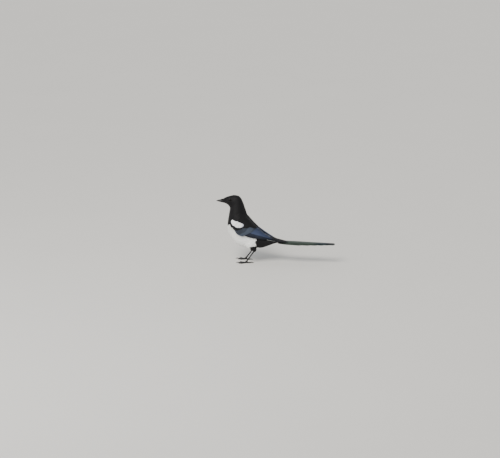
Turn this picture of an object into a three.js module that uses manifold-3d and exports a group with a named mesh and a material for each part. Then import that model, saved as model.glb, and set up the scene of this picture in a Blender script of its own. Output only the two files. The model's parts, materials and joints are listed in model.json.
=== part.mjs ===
// A life-size Eurasian magpie that stands on level ground with its head up and its long tail held level.
// Millimetres, +Z up. The bird faces -X and its left side is -Y. Sizes are measured from a point on the
// ground between its feet, and the finished bird is moved along X so that the origin is under its middle.
import * as THREE from "three";
import { mergeVertices } from "three/addons/utils/BufferGeometryUtils.js";
import Module from "manifold-3d";

const wasm = await Module();
wasm.setup();

// Driving sizes
const GAP = 0.3; // between pieces that touch
const BODY_SIDES = 24; // corners of a body section

// Body sections from the tail to the bill: a point on the back, one on the belly, half the width,
// and how far the widest place sits above (+) or below (-) the middle, as a share of half the height.
const BODY = [
  { back: [95, 81], belly: [93, 70], half: 14, high: 0.1 },
  { back: [62, 92], belly: [54, 55], half: 22, high: 0 },
  { back: [44, 105], belly: [36, 50], half: 27, high: -0.1 },
  { back: [27.5, 121.5], belly: [14, 51.5], half: 31, high: -0.18 },
  { back: [8.5, 141], belly: [-14, 51.5], half: 34, high: -0.22 },
  { back: [-6, 157], belly: [-44, 60], half: 35, high: -0.18 },
  { back: [-15, 180], belly: [-72, 98], half: 34, high: -0.1 },
  { back: [-20, 197], belly: [-75, 130], half: 31, high: -0.05 },
  { back: [-25.5, 210], belly: [-70.5, 163], half: 25.5, high: 0 },
  { back: [-30, 219.5], belly: [-67.7, 181], half: 22, high: 0 },
  { back: [-38, 226.5], belly: [-69.5, 189], half: 20.5, high: -0.05 },
  { back: [-54, 228.8], belly: [-75, 195.7], half: 19, high: -0.12 },
  { back: [-70.5, 224.8], belly: [-82, 199.7], half: 15, high: -0.12 },
  { back: [-81, 221], belly: [-87, 201.4], half: 10.8, high: -0.1 },
  { back: [-90, 216], belly: [-91, 203.2], half: 7, high: 0 },
];
// The pieces of the body: where each begins and ends, counted in stations, and its rings for each station
const PIECES = {
  rump: { from: 0, to: 1, steps: 3 },
  torso: { from: 1, to: 6.6, steps: 2.5 },
  neck: { from: 6.6, to: 9, steps: 2.5 },
  head: { from: 9, to: 14, steps: 3 },
};

// The surface that the folded wing lies on, from the shoulder to behind the wing tips
const WING_BED = [
  { back: [-20, 198.5], belly: [-76, 129.5], half: 31.5, high: -0.05 },
  { back: [-14.5, 181.5], belly: [-73, 97], half: 34.5, high: -0.1 },
  { back: [-9, 169], belly: [-63, 73], half: 35.5, high: -0.15 },
  { back: [-5, 158], belly: [-44, 59.5], half: 35.5, high: -0.18 },
  { back: [9, 142], belly: [-13.5, 51], half: 34.5, high: -0.2 },
  { back: [28.5, 123], belly: [15, 51], half: 31.5, high: -0.15 },
  { back: [46, 110], belly: [38, 52], half: 29, high: -0.05 },
  { back: [63, 98.5], belly: [58, 60], half: 26, high: 0 },
  { back: [81, 88], belly: [77.5, 67], half: 22.5, high: 0 },
  { back: [100, 81], belly: [98, 66], half: 21, high: 0 },
  { back: [121, 78], belly: [119.5, 64], half: 20, high: 0 },
  { back: [136, 77], belly: [135, 64], half: 19, high: 0 },
];

// Feathers are thin plates. Those of a row lie like roof tiles: each has its upper edge under its neighbour.
const VANE = 0.5; // thickness
const TILE = 0.9; // from the face of a feather to the same face of the next one in its row
const TILE_REACH = 1.9; // half the width of a feather is at most this many spacings of its row
const ROUNDING = 9; // length of a feather's round tip
const CLEAR = { root: 4, tip: 3 }; // least distances of a shared step from the root and the round tip
const ROOT_SHARE = 0.45; // width at the root
const OPENING = 45; // length over which a feather would open from nothing to its full width

// The rows of feathers of a wing. Distances run along the wing bed and angles from the middle of the back.
// A row's feathers are spread between two angles at each of the distances near and far, upper ones first.
// The lift of a row is its height over the bed at each of the places where its feathers have a step.
const WING_ROWS = {
  flight: {
    near: 70, far: 205, nearAngles: [28, 80], farAngles: [2, 63], spread: 1.2, half: 7.5,
    roots: [78, 75, 72, 66, 61, 56, 51, 46, 40, 36, 32, 28, 24],
    tips: [126, 141, 153, 162, 167, 170, 170, 167, 176, 187, 197, 203, 190],
    lift: [[0, -0.8], [20, -0.4], [40, 0.2], [60, 0.7], [80, 1.2], [100, 1.7], [120, 2.1], [140, 2.2],
      [154, 2.2], [167, 2.2], [180, 2.2], [194, 2.2]],
  },
  greaterCoverts: {
    near: 40, far: 100, nearAngles: [44, 93], farAngles: [38, 72], spread: 1, half: 6,
    roots: [58, 55, 52, 49, 45, 40, 35, 30, 25],
    tips: [104, 103, 101, 98, 94, 90, 87, 83, 76],
    lift: [[25, 0.2], [45, 1], [65, 3.5], [85, 4.7], [105, 5.2]],
  },
  medianCoverts: {
    near: 40, far: 80, nearAngles: [56, 90], farAngles: [48, 77], spread: 1, half: 5.5,
    roots: [40, 38, 36, 34, 32, 28],
    tips: [79, 78, 76, 73, 69, 63],
    lift: [[28, 0.4], [42, 3.2], [54, 5.5], [68, 6.5], [80, 6.9]],
  },
  scapulars: {
    near: 0, far: 50, nearAngles: [76, 124], farAngles: [32, 80], spread: 1, half: 7.5,
    roots: [8, 6, 3, 0, -2, -3],
    tips: [58, 56, 54, 50, 45, 38],
    lift: [[-4, -1.5], [10, 2], [22, 5.2], [36, 6.9], [60, 7.3]],
  },
};
// The arm under the feathers: its ends along the bed, its depth and thickness, and its edges as angles
const ARM = { from: 4, to: 104, steps: 10, across: 6, depth: -6, thick: 2.4 };
const ARM_UPPER = [[0, 70], [50, 48], [104, 34]];
const ARM_LOWER = { least: 78, bulge: 28, middle: 18, spread: 34 };

// Eye
const EYE = { x: -66, z: 215.5, y: 12.6, radius: 5.2 };
const LID = { radius: 4.3, tube: 0.85, out: 3.5, long: 1.12, tall: 0.96 };

// Bill: x, top and bottom of each section, and half its width
const UPPER_BILL = [
  [-83, 213.4, 205.3, 6.4],
  [-88, 213.6, 205.6, 6.2],
  [-97, 212.9, 206.2, 4.8],
  [-105, 211.2, 206.9, 3.2],
  [-111, 209.3, 207.2, 1.9],
  [-114.3, 207.6, 206.5, 0.6],
];
const LOWER_BILL = [
  [-83, 205, 201.1, 6],
  [-88, 205.3, 201.3, 5.8],
  [-97, 205.9, 202.9, 4.4],
  [-105, 206.6, 204.6, 2.8],
  [-111.5, 206.8, 206.1, 1.1],
];
const BILL_SIDES = 12;
const BILL_STEPS = 2;
const MOUTH_LINE = { from: -95, to: -74, z: 205.3, drop: 1.6, tall: 0.7, half: 16 };
// Bristles that lie forward over the root of the bill, and their widths from root to tip
const BRISTLES = { count: 7, fan: 62, from: -80, to: -97.5, thick: 0.9, shorter: 0.28 };
const BRISTLE_HALVES = [[0, 2.1], [0.4, 2.1], [0.75, 1.6], [1, 0.4]];

// Tail: feathers in pairs from the middle one out, each pair lower than the last
const TAIL_ROOT = { x: 84, z: 76.6 };
const TAIL_TIP = { x: 286, z: 72 };
const TAIL_ARCH = 0.003; // drop of the vanes at the sides, times y squared
const TAIL_TIPS = [286, 271, 252, 230, 206, 178]; // where each pair ends along X
// The middles of the pairs: how far out the first one is, and the steps between them near and far
const TAIL_FAN = { near: 96, far: 180, nearStep: 1.5, farStep: 2, first: 2.4 };
const TAIL_FEATHER = { half: 8.2, root: 0.45, opening: 1.8, rounding: 14 };
const TAIL_SHARES = [0, 0.2, 0.45, 0.7, 0.88, 0.96, 0.99, 1]; // steps along a tail feather
// The root of the tail: x, half the width and thickness of its sections
const TAIL_BLOCK = [[84, 8.1, 5.4], [96, 9, 5.4], [106, 9.4, 4], [112, 9, 1.4]];
const TAIL_BLOCK_LIFT = 0.4;

// Legs: the joints of the left leg. The right one mirrors it and stands ahead, its hip and ankle by a share.
const HIP = [0, 18, 72];
const ANKLE = [19, 19, 46];
const SOLE = [-9, 21, 5.4];
const STEP_AHEAD = { left: 0, right: -8 };
const HIP_SHARE = 0.2;
const ANKLE_SHARE = 0.7;
const THIGH_TUBE = [14, 7]; // sides and steps
const SHANK_TUBE = [10, 6];
const TOE_TUBE = [8, 5];
const CLAW_TUBE = [6, 5];
const CLAW_INSET = 1; // of the claw's root in the toe's length
const THIGH_RADII = [19, 17.5, 12, 4.8];
const SHANK_RADII = [3.3, 2.5, 2.0, 2.0, 2.3, 2.9];
const TOES = [
  { name: "inner", turn: 24, length: 19, claw: 7.5 },
  { name: "middle", turn: 0, length: 27, claw: 9 },
  { name: "outer", turn: -25, length: 21, claw: 7.5 },
  { name: "hind", turn: 176, length: 15, claw: 11 },
];
const TOE_LINE = [[0, 3.8], [0.35, 1.8], [0.7, 1.7], [1, 1.4]]; // share of the length, and height
const TOE_RADII = [2.8, 2.3, 2.6, 2.0, 2.4, 1.9, 2.2, 1.6];
const CLAW_LINE = [[0, 1.9], [0.35, 2.9], [0.75, 2.1], [1, 0.5]];
const CLAW_RADII = [1.5, 1.3, 0.9, 0.3];
const HEEL = { radius: 4, long: 1.25 };
const FOOT_TURN = -6; // toes turned a little out

const SIDES = { left: -1, right: 1 };
const radians = THREE.MathUtils.degToRad;
const lerp = THREE.MathUtils.lerp;

// Solids

// A closed geometry as a solid that can be joined and cut.
function solidOf(geometry) {
  const bare = geometry.index ? geometry.toNonIndexed() : geometry.clone();
  bare.deleteAttribute("normal");
  bare.deleteAttribute("uv");
  const merged = mergeVertices(bare, 1e-4);
  return new wasm.Manifold(
    new wasm.Mesh({
      numProp: 3,
      vertProperties: merged.attributes.position.array,
      triVerts: new Uint32Array(merged.index.array),
    }),
  );
}

// The largest closed surface of a solid, as a geometry.
function geometryOf(solid) {
  const largest = solid.decompose().reduce((a, b) => (b.volume() > a.volume() ? b : a));
  const mesh = largest.getMesh();
  const points = new Float32Array(mesh.numVert * 3);
  for (let i = 0; i < mesh.numVert; i++) {
    points.set(mesh.vertProperties.subarray(i * mesh.numProp, i * mesh.numProp + 3), i * 3);
  }
  const geometry = new THREE.BufferGeometry();
  geometry.setAttribute("position", new THREE.BufferAttribute(points, 3));
  geometry.setIndex(new THREE.BufferAttribute(new Uint32Array(mesh.triVerts), 1));
  geometry.computeVertexNormals();
  return geometry;
}

// Joins rings of points, each with the same count, into a closed surface with a fan at each end.
function loft(rings) {
  const count = rings[0].length;
  const points = rings.flat();
  const faces = [];
  for (let k = 0; k + 1 < rings.length; k++) {
    for (let i = 0; i < count; i++) {
      const a = k * count + i;
      const b = k * count + ((i + 1) % count);
      faces.push(a, b, b + count, a, b + count, a + count);
    }
  }
  for (const [ring, start, flip] of [
    [rings[0], 0, true],
    [rings[rings.length - 1], (rings.length - 1) * count, false],
  ]) {
    points.push(ring.reduce((sum, p) => sum.add(p), new THREE.Vector3()).divideScalar(count));
    for (let i = 0; i < count; i++) {
      const a = start + i;
      const b = start + ((i + 1) % count);
      faces.push(...(flip ? [b, a, points.length - 1] : [a, b, points.length - 1]));
    }
  }
  return facingOut(points, faces);
}

// A thin plate from rows of places across it, each with a top and a bottom point.
// Both faces are split into triangles alike, so that they never cross.
function plate(rows) {
  const across = rows[0].length;
  const half = rows.length * across;
  const points = [...rows.flat().map((p) => p.top), ...rows.flat().map((p) => p.bottom)];
  const faces = [];
  for (let k = 0; k + 1 < rows.length; k++) {
    for (let i = 0; i + 1 < across; i++) {
      const a = k * across + i;
      const [b, c, d] = [a + 1, a + across + 1, a + across];
      faces.push(a, b, c, a, c, d);
      faces.push(a + half, c + half, b + half, a + half, d + half, c + half);
    }
  }
  const rim = [];
  for (let i = 0; i + 1 < across; i++) rim.push(i);
  for (let k = 0; k + 1 < rows.length; k++) rim.push(k * across + across - 1);
  for (let i = across - 1; i > 0; i--) rim.push((rows.length - 1) * across + i);
  for (let k = rows.length - 1; k > 0; k--) rim.push(k * across);
  rim.forEach((a, i) => {
    const b = rim[(i + 1) % rim.length];
    faces.push(b, a, a + half, b, a + half, b + half);
  });
  return facingOut(points, faces);
}

// An indexed geometry whose faces point out, whichever way its rings ran.
function facingOut(points, faces) {
  let volume = 0;
  for (let i = 0; i < faces.length; i += 3) {
    const [a, b, c] = [points[faces[i]], points[faces[i + 1]], points[faces[i + 2]]];
    volume += a.dot(new THREE.Vector3().crossVectors(b, c));
  }
  if (volume < 0) {
    for (let i = 0; i < faces.length; i += 3) {
      [faces[i + 1], faces[i + 2]] = [faces[i + 2], faces[i + 1]];
    }
  }
  const geometry = new THREE.BufferGeometry().setFromPoints(points);
  geometry.setIndex(faces);
  return geometry;
}

function joined(solids) {
  return solids.reduce((a, b) => a.add(b));
}

// A value between pairs of place and value.
function along(pairs, place) {
  let k = 0;
  while (k < pairs.length - 2 && place > pairs[k + 1][0]) k++;
  const [[from, a], [to, b]] = [pairs[k], pairs[k + 1]];
  return lerp(a, b, THREE.MathUtils.clamp((place - from) / (to - from), 0, 1));
}

// Body sections

function catmull(a, b, c, d, t) {
  const slopeB = (c - a) / 2;
  const slopeC = (d - b) / 2;
  const curve = (2 * (b - c) + slopeB + slopeC) * t + 3 * (c - b) - 2 * slopeB - slopeC;
  return (curve * t + slopeB) * t + b;
}

// The section at a place s along a list of stations.
function sectionAt(stations, s) {
  const last = stations.length - 1;
  const k = Math.min(Math.max(Math.floor(s), 0), last - 1);
  const near = [k - 1, k, k + 1, k + 2].map((i) => stations[Math.min(Math.max(i, 0), last)]);
  const value = (read) => catmull(...near.map(read), s - k);
  const back = new THREE.Vector3(value((p) => p.back[0]), 0, value((p) => p.back[1]));
  const belly = new THREE.Vector3(value((p) => p.belly[0]), 0, value((p) => p.belly[1]));
  const up = back.clone().sub(belly);
  const tall = up.length() / 2;
  up.normalize();
  return {
    middle: back.clone().add(belly).divideScalar(2),
    up,
    ahead: new THREE.Vector3(-up.z, 0, up.x),
    tall,
    half: value((p) => p.half),
    high: value((p) => p.high),
  };
}

// A point on a section's skin. The angle runs from 0 at the back to 180 degrees at the belly,
// towards +Y where it is positive, and grow moves the skin out.
function skinPoint(section, angle, grow = 0) {
  const { middle, up, tall, half, high } = section;
  const side = Math.sin(angle);
  const height = (tall + grow) * (Math.cos(angle) + high * side * side);
  return middle.clone().addScaledVector(up, height).setY((half + grow) * side);
}

function skinRing(section, grow = 0, shift = 0) {
  return Array.from({ length: BODY_SIDES }, (_, i) =>
    skinPoint(section, (i / BODY_SIDES) * 2 * Math.PI, grow).addScaledVector(section.ahead, shift),
  );
}

// One piece of the body, with each cut end drawn back by half a gap, or the same piece grown all round.
function bodyPiece({ from, to, steps }, grow = 0) {
  const count = Math.round((to - from) * steps);
  const last = BODY.length - 1;
  const rings = [];
  for (let k = 0; k <= count; k++) {
    let shift = 0;
    if (k === 0) shift = from > 0 ? GAP / 2 - grow : -grow;
    if (k === count) shift = to < last ? grow - GAP / 2 : grow;
    rings.push(skinRing(sectionAt(BODY, lerp(from, to, k / count)), grow, shift));
  }
  return loft(rings);
}

const grownBody = joined(Object.values(PIECES).map((piece) => solidOf(bodyPiece(piece, GAP))));

// Wings

const BED_PLACES = WING_BED.reduce((places, _, k) => {
  const step = k ? sectionAt(WING_BED, k).middle.distanceTo(sectionAt(WING_BED, k - 1).middle) : 0;
  return [...places, (places[k - 1] ?? 0) + step];
}, []);

function bedSection(place) {
  let k = 0;
  while (k < BED_PLACES.length - 2 && place > BED_PLACES[k + 1]) k++;
  return sectionAt(WING_BED, k + (place - BED_PLACES[k]) / (BED_PLACES[k + 1] - BED_PLACES[k]));
}

// Degrees round a bed section for each millimetre along its skin, about half way down its side.
function degreesPerMillimetre(section) {
  return 180 / Math.PI / Math.hypot(section.tall, section.half) * Math.SQRT2;
}

// The angle of a row's feather at a place along the bed; number may be a fraction.
function rowAngle(row, number, place) {
  const share = number / (row.roots.length - 1);
  const near = lerp(...row.nearAngles, share);
  const far = lerp(...row.farAngles, Math.sign(share) * Math.abs(share) ** row.spread);
  return lerp(near, far, (place - row.near) / (row.far - row.near));
}

// The places of a feather's steps. A row's feathers share those between root and tip, so they lie parallel.
function stepPlaces(row, root, tip) {
  const places = row.lift.map(([place]) => place);
  const shared = places.filter((p) => p > root + CLEAR.root && p < tip - ROUNDING - CLEAR.tip);
  return [root, ...shared, tip - ROUNDING, tip - ROUNDING * 0.3, tip];
}

// One feather of a row, which narrows to its root and has a round tip.
function rowFeather(row, number) {
  const [root, tip] = [row.roots[number], row.tips[number]];
  const rows = stepPlaces(row, root, tip).map((place) => {
    const section = bedSection(place);
    const centre = rowAngle(row, number, place);
    const perMillimetre = degreesPerMillimetre(section);
    const [above, below] = [-0.5, 0.5].map((step) => rowAngle(row, number + step, place));
    const spacing = (below - above) / perMillimetre;
    const opening = Math.min(ROOT_SHARE + (place - root) / OPENING, 1);
    const closing = Math.sqrt(Math.max(1 - (1 - Math.min((tip - place) / ROUNDING, 1)) ** 2, 0.06));
    const reach = Math.min(row.half, TILE_REACH * spacing) * opening * closing;
    return [-1, 0, 1].map((u) => {
      const height = along(row.lift, place) + (TILE * u * reach) / spacing;
      const angle = radians(centre + u * reach * perMillimetre);
      return {
        top: skinPoint(section, angle, height + VANE / 2),
        bottom: skinPoint(section, angle, height - VANE / 2),
      };
    });
  });
  return solidOf(plate(rows));
}

// The wing's lower and upper edge over its arm, as angles at a place along the bed.
function armEdges(place) {
  const bulge = Math.exp(-(((place - ARM_LOWER.middle) / ARM_LOWER.spread) ** 2));
  return [along(ARM_UPPER, place), ARM_LOWER.least + ARM_LOWER.bulge * bulge];
}

// The arm and the roots of its feathers: a low cushion sunk into the side of the body.
function armSolid() {
  const rings = [];
  for (let k = 0; k <= ARM.steps; k++) {
    const t = k / ARM.steps;
    const place = lerp(ARM.from, ARM.to, t);
    const section = bedSection(place);
    const [upper, lower] = armEdges(place);
    const round = Math.sqrt(Math.max(1 - (2 * t - 1) ** 4, 0.1));
    const shares = Array.from({ length: ARM.across + 1 }, (_, i) => (2 * i) / ARM.across - 1);
    const point = (u, height) =>
      skinPoint(section, radians((upper + lower + u * round * (lower - upper)) / 2), height);
    const outer = shares.map((u) => point(u, ARM.thick * round * Math.sqrt(1.05 - u ** 4)));
    const inner = shares.map((u) => point(u, ARM.depth)).reverse();
    rings.push([...outer, ...inner]);
  }
  return solidOf(loft(rings));
}

function wingGeometry() {
  const rows = Object.values(WING_ROWS);
  const feathers = rows.flatMap((row) => row.roots.map((_, number) => rowFeather(row, number)));
  return geometryOf(joined([armSolid(), ...feathers]).subtract(grownBody));
}

function mirrored(geometry) {
  const position = geometry.attributes.position;
  const points = Array.from({ length: position.count }, (_, i) =>
    new THREE.Vector3().fromBufferAttribute(position, i).multiply(new THREE.Vector3(1, -1, 1)),
  );
  return facingOut(points, Array.from(geometry.index.array));
}

// Tail

function tailHeight(x) {
  return lerp(TAIL_ROOT.z, TAIL_TIP.z, (x - TAIL_ROOT.x) / (TAIL_TIP.x - TAIL_ROOT.x));
}

// A point on the tail's arch, at a height over its middle line.
function archPoint(x, y, height) {
  return new THREE.Vector3(x, y, tailHeight(x) + height - TAIL_ARCH * y * y);
}

// One tail feather. Pair 0 is the middle one; its two feathers lie one over the other.
function tailFeather(pair, side) {
  const tip = TAIL_TIPS[pair];
  const layer = pair === 0 ? Number(side < 0) : pair + 1;
  const { near, far, nearStep, farStep, first } = TAIL_FAN;
  const rows = TAIL_SHARES.map((share) => {
    const x = lerp(near, tip, share);
    const step = lerp(nearStep, farStep, Math.min((x - near) / (far - near), 1));
    const middle = first + step * pair;
    const closing = Math.sqrt(Math.max(1 - Math.max((x - tip) / TAIL_FEATHER.rounding + 1, 0) ** 2, 0.05));
    const opening = Math.min(TAIL_FEATHER.root + share * TAIL_FEATHER.opening, 1);
    const half = TAIL_FEATHER.half * opening * closing;
    const inner = pair === 0 ? middle - half : Math.max(middle - half, GAP);
    return [inner, middle, middle + half].map((y) => ({
      top: archPoint(x, side * y, -layer * TILE),
      bottom: archPoint(x, side * y, -layer * TILE - VANE),
    }));
  });
  return solidOf(plate(rows));
}

// The root that joins the tail's feathers.
function tailBlock() {
  const thickest = TAIL_BLOCK[0][2];
  const shares = [-1, -0.6, 0, 0.6, 1];
  const rings = TAIL_BLOCK.map(([x, half, thick]) => {
    const top = TAIL_BLOCK_LIFT - (thickest - thick) / 2;
    const upper = shares.map((u) => archPoint(x, u * half, top));
    const lower = shares.map((u) => archPoint(x, u * half, top - thick)).reverse();
    return [...upper, ...lower];
  });
  return solidOf(loft(rings));
}

function tailGeometry() {
  const feathers = TAIL_TIPS.flatMap((_, pair) => [tailFeather(pair, 1), tailFeather(pair, -1)]);
  return geometryOf(joined([tailBlock(), ...feathers]).subtract(grownBody));
}

// Head

function ballAt(x, y, z, radius) {
  return solidOf(new THREE.SphereGeometry(radius, 14, 8).translate(x, y, z));
}

// The section of a bill at a place s along its stations: x, top, bottom and half the width.
function billSection(stations, s) {
  const last = stations.length - 1;
  const k = Math.min(Math.floor(s), last - 1);
  const near = [k - 1, k, k + 1, k + 2].map((i) => stations[Math.min(Math.max(i, 0), last)]);
  return [0, 1, 2, 3].map((c) => catmull(...near.map((station) => station[c]), s - k));
}

// The upper bill is rounded above and flat below, the lower one the other way round.
function billPiece(stations, grow = 0) {
  const roundAbove = stations === UPPER_BILL;
  const count = (stations.length - 1) * BILL_STEPS;
  const rings = [];
  for (let k = 0; k <= count; k++) {
    const [x, top, bottom, half] = billSection(stations, k / BILL_STEPS);
    const shift = k === 0 ? grow : k === count ? -grow : 0;
    const ring = [];
    for (let j = 0; j < BILL_SIDES; j++) {
      const angle = ((j + 0.5) / BILL_SIDES) * 2 * Math.PI;
      const [rise, wide] = [Math.cos(angle), Math.sin(angle)];
      const z = rise > 0 ? rise * (top - bottom + grow) : rise * grow;
      const width = rise > 0 ? wide : Math.sign(wide) * Math.sqrt(Math.abs(wide));
      const from = roundAbove ? bottom + z : top - z;
      ring.push(new THREE.Vector3(x + shift, (half + grow) * width, from));
    }
    rings.push(ring);
  }
  return loft(rings);
}

// The section of the upper bill at x.
function upperBillAt(x) {
  const k = UPPER_BILL.findIndex((station, i) => i > 0 && x >= station[0]) - 1;
  const [near, far] = [UPPER_BILL[k], UPPER_BILL[k + 1]];
  return billSection(UPPER_BILL, k + Math.max(0, (x - near[0]) / (far[0] - near[0])));
}

// A flat bristle tuft that starts in the head and lies forward along the upper bill.
function bristle(number) {
  const turn = radians(lerp(-BRISTLES.fan, BRISTLES.fan, number / (BRISTLES.count - 1)));
  const length = (BRISTLES.to - BRISTLES.from) * (1 - BRISTLES.shorter * Math.abs(Math.sin(turn)));
  const rows = BRISTLE_HALVES.map(([share, wide]) => {
    const x = BRISTLES.from + length * share;
    const [, top, bottom, half] = upperBillAt(x);
    return [-1, 1].map((u) => {
      const angle = turn + (u * wide) / half;
      const tall = top - bottom;
      const point = (out) =>
        new THREE.Vector3(x, (half + out) * Math.sin(angle), bottom + (tall + out) * Math.cos(angle));
      return { top: point(GAP + BRISTLES.thick), bottom: point(0) };
    });
  });
  return solidOf(plate(rows));
}

// Legs

// A tube through points, with a list of radii spread along it, flattened where it meets the ground.
function tube(points, radii, sides, steps) {
  const curve = new THREE.CatmullRomCurve3(points.map((p) => new THREE.Vector3(...p)));
  const rings = [];
  for (let k = 0; k <= steps; k++) {
    const t = k / steps;
    const tangent = curve.getTangent(t);
    const across = new THREE.Vector3(0, 0, 1).cross(tangent).normalize();
    const up = tangent.clone().cross(across);
    const place = t * (radii.length - 1);
    const i = Math.min(Math.floor(place), radii.length - 2);
    const radius = lerp(radii[i], radii[i + 1], place - i);
    const ring = [];
    for (let j = 0; j < sides; j++) {
      const angle = ((j + 0.5) / sides) * 2 * Math.PI;
      const p = curve.getPoint(t).addScaledVector(across, radius * Math.cos(angle));
      p.addScaledVector(up, radius * Math.sin(angle));
      p.z = Math.max(p.z, 0);
      ring.push(p);
    }
    rings.push(ring);
  }
  return loft(rings);
}

// A point part of the way between two.
function between(a, b, t) {
  return a.map((value, i) => lerp(value, b[i], t));
}

function grown(radii) {
  return radii.map((radius) => radius + GAP);
}

// Builds every piece

const bird = new THREE.Group();

const FINISH = {
  black: { color: 0x15151a, roughness: 0.55 },
  gloss: { color: 0x1d2b52, roughness: 0.4 },
  tail: { color: 0x16302e, roughness: 0.4 },
  bill: { color: 0x17171a, roughness: 0.35 },
  eye: { color: 0x0c0806, roughness: 0.1 },
  leg: { color: 0x1a1a1c, roughness: 0.6 },
};

function addPiece(name, geometry, finish) {
  const mesh = new THREE.Mesh(geometry, new THREE.MeshStandardMaterial(FINISH[finish]));
  mesh.name = name;
  bird.add(mesh);
}

function buildBody() {
  for (const name of ["rump", "torso", "neck"]) addPiece(name, bodyPiece(PIECES[name]), "black");
}

function buildHead() {
  let head = solidOf(bodyPiece(PIECES.head));
  for (let number = 0; number < BRISTLES.count; number++) head = head.add(bristle(number));
  for (const side of Object.values(SIDES)) {
    const lid = new THREE.TorusGeometry(LID.radius, LID.tube, 5, 14).scale(LID.long, LID.tall, 1);
    head = head.add(solidOf(lid.rotateX(Math.PI / 2).translate(EYE.x, side * (EYE.y + LID.out), EYE.z)));
  }
  for (const side of Object.values(SIDES)) {
    head = head.subtract(ballAt(EYE.x, side * EYE.y, EYE.z, EYE.radius + GAP));
  }
  for (const bill of [UPPER_BILL, LOWER_BILL]) head = head.subtract(solidOf(billPiece(bill, GAP)));
  addPiece("head", geometryOf(head.subtract(mouthLine())), "black");
  for (const [name, side] of Object.entries(SIDES)) {
    addPiece(`eye_${name}`, geometryOf(ballAt(EYE.x, side * EYE.y, EYE.z, EYE.radius)), "eye");
  }
  addPiece("bill_upper", billPiece(UPPER_BILL), "bill");
  addPiece("bill_lower", billPiece(LOWER_BILL), "bill");
}

// The groove that carries the line of the bill back to the corners of the mouth.
function mouthLine() {
  const length = MOUTH_LINE.to - MOUTH_LINE.from;
  const groove = new THREE.BoxGeometry(length, 2 * MOUTH_LINE.half, MOUTH_LINE.tall);
  groove.rotateY(Math.atan2(MOUTH_LINE.drop, length));
  const middle = (MOUTH_LINE.from + MOUTH_LINE.to) / 2;
  return solidOf(groove.translate(middle, 0, MOUTH_LINE.z - MOUTH_LINE.drop / 2));
}

function buildWings() {
  const wing = wingGeometry();
  addPiece("wing_right", wing, "gloss");
  addPiece("wing_left", mirrored(wing), "gloss");
}

function buildLegs() {
  for (const [name, side] of Object.entries(SIDES)) {
    const ahead = STEP_AHEAD[name];
    const hip = [HIP[0] + ahead * HIP_SHARE, side * HIP[1], HIP[2]];
    const ankle = [ANKLE[0] + ahead * ANKLE_SHARE, side * ANKLE[1], ANKLE[2]];
    const sole = [SOLE[0] + ahead, side * SOLE[1], SOLE[2]];

    const thighLine = [hip, between(hip, ankle, 0.5), ankle];
    const thigh = solidOf(tube(thighLine, THIGH_RADII, ...THIGH_TUBE)).subtract(grownBody);
    addPiece(`thigh_${name}`, geometryOf(thigh), "black");

    const shankLine = [between(ankle, sole, -0.05), between(ankle, sole, 0.5), between(ankle, sole, 0.94)];
    const shank = solidOf(tube(shankLine, SHANK_RADII, ...SHANK_TUBE));
    const grownThigh = solidOf(tube(thighLine, grown(THIGH_RADII), ...THIGH_TUBE));
    addPiece(`shank_${name}`, geometryOf(shank.subtract(grownThigh)), "leg");
    buildFoot(name, side, sole, solidOf(tube(shankLine, grown(SHANK_RADII), ...SHANK_TUBE)));
  }
}

// A foot with its four toes, and a claw at the end of each toe.
function buildFoot(name, side, sole, grownShank) {
  const heel = new THREE.SphereGeometry(HEEL.radius, 8, 6).scale(HEEL.long, 1, 1);
  let foot = solidOf(heel.translate(...sole));
  for (const toe of TOES) {
    const heading = radians(180 + side * (toe.turn + FOOT_TURN));
    const at = (reach, z) => [
      sole[0] + reach * Math.cos(heading),
      sole[1] + reach * Math.sin(heading),
      z,
    ];
    const toeLine = TOE_LINE.map(([share, z]) => at(toe.length * share, z));
    foot = foot.add(solidOf(tube(toeLine, TOE_RADII, ...TOE_TUBE)));
    const clawLine = CLAW_LINE.map(([share, z]) => at(toe.length - CLAW_INSET + toe.claw * share, z));
    const claw = solidOf(tube(clawLine, CLAW_RADII, ...CLAW_TUBE));
    foot = foot.subtract(solidOf(tube(clawLine, grown(CLAW_RADII), ...CLAW_TUBE)));
    addPiece(`claw_${name}_${toe.name}`, geometryOf(claw), "leg");
  }
  addPiece(`foot_${name}`, geometryOf(foot.subtract(grownShank)), "leg");
}

buildBody();
buildHead();
buildWings();
addPiece("tail", tailGeometry(), "tail");
buildLegs();
bird.position.x = -(UPPER_BILL[UPPER_BILL.length - 1][0] + TAIL_TIP.x) / 2;

export default bird;
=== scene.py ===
"""A life-size Eurasian magpie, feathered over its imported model.

Sizes are in millimetres, in the bird's own measure: X runs from the bill to the tail, +Y is the
bird's right, +Z is up, and the origin is on the ground between the feet. place() turns them into
the frame's metres.
"""

import json
import math
from functools import partial

import bmesh
import bpy
import numpy as np
from bpy.props import FloatProperty, FloatVectorProperty, IntProperty, PointerProperty
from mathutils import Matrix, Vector
from mathutils.kdtree import KDTree

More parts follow.
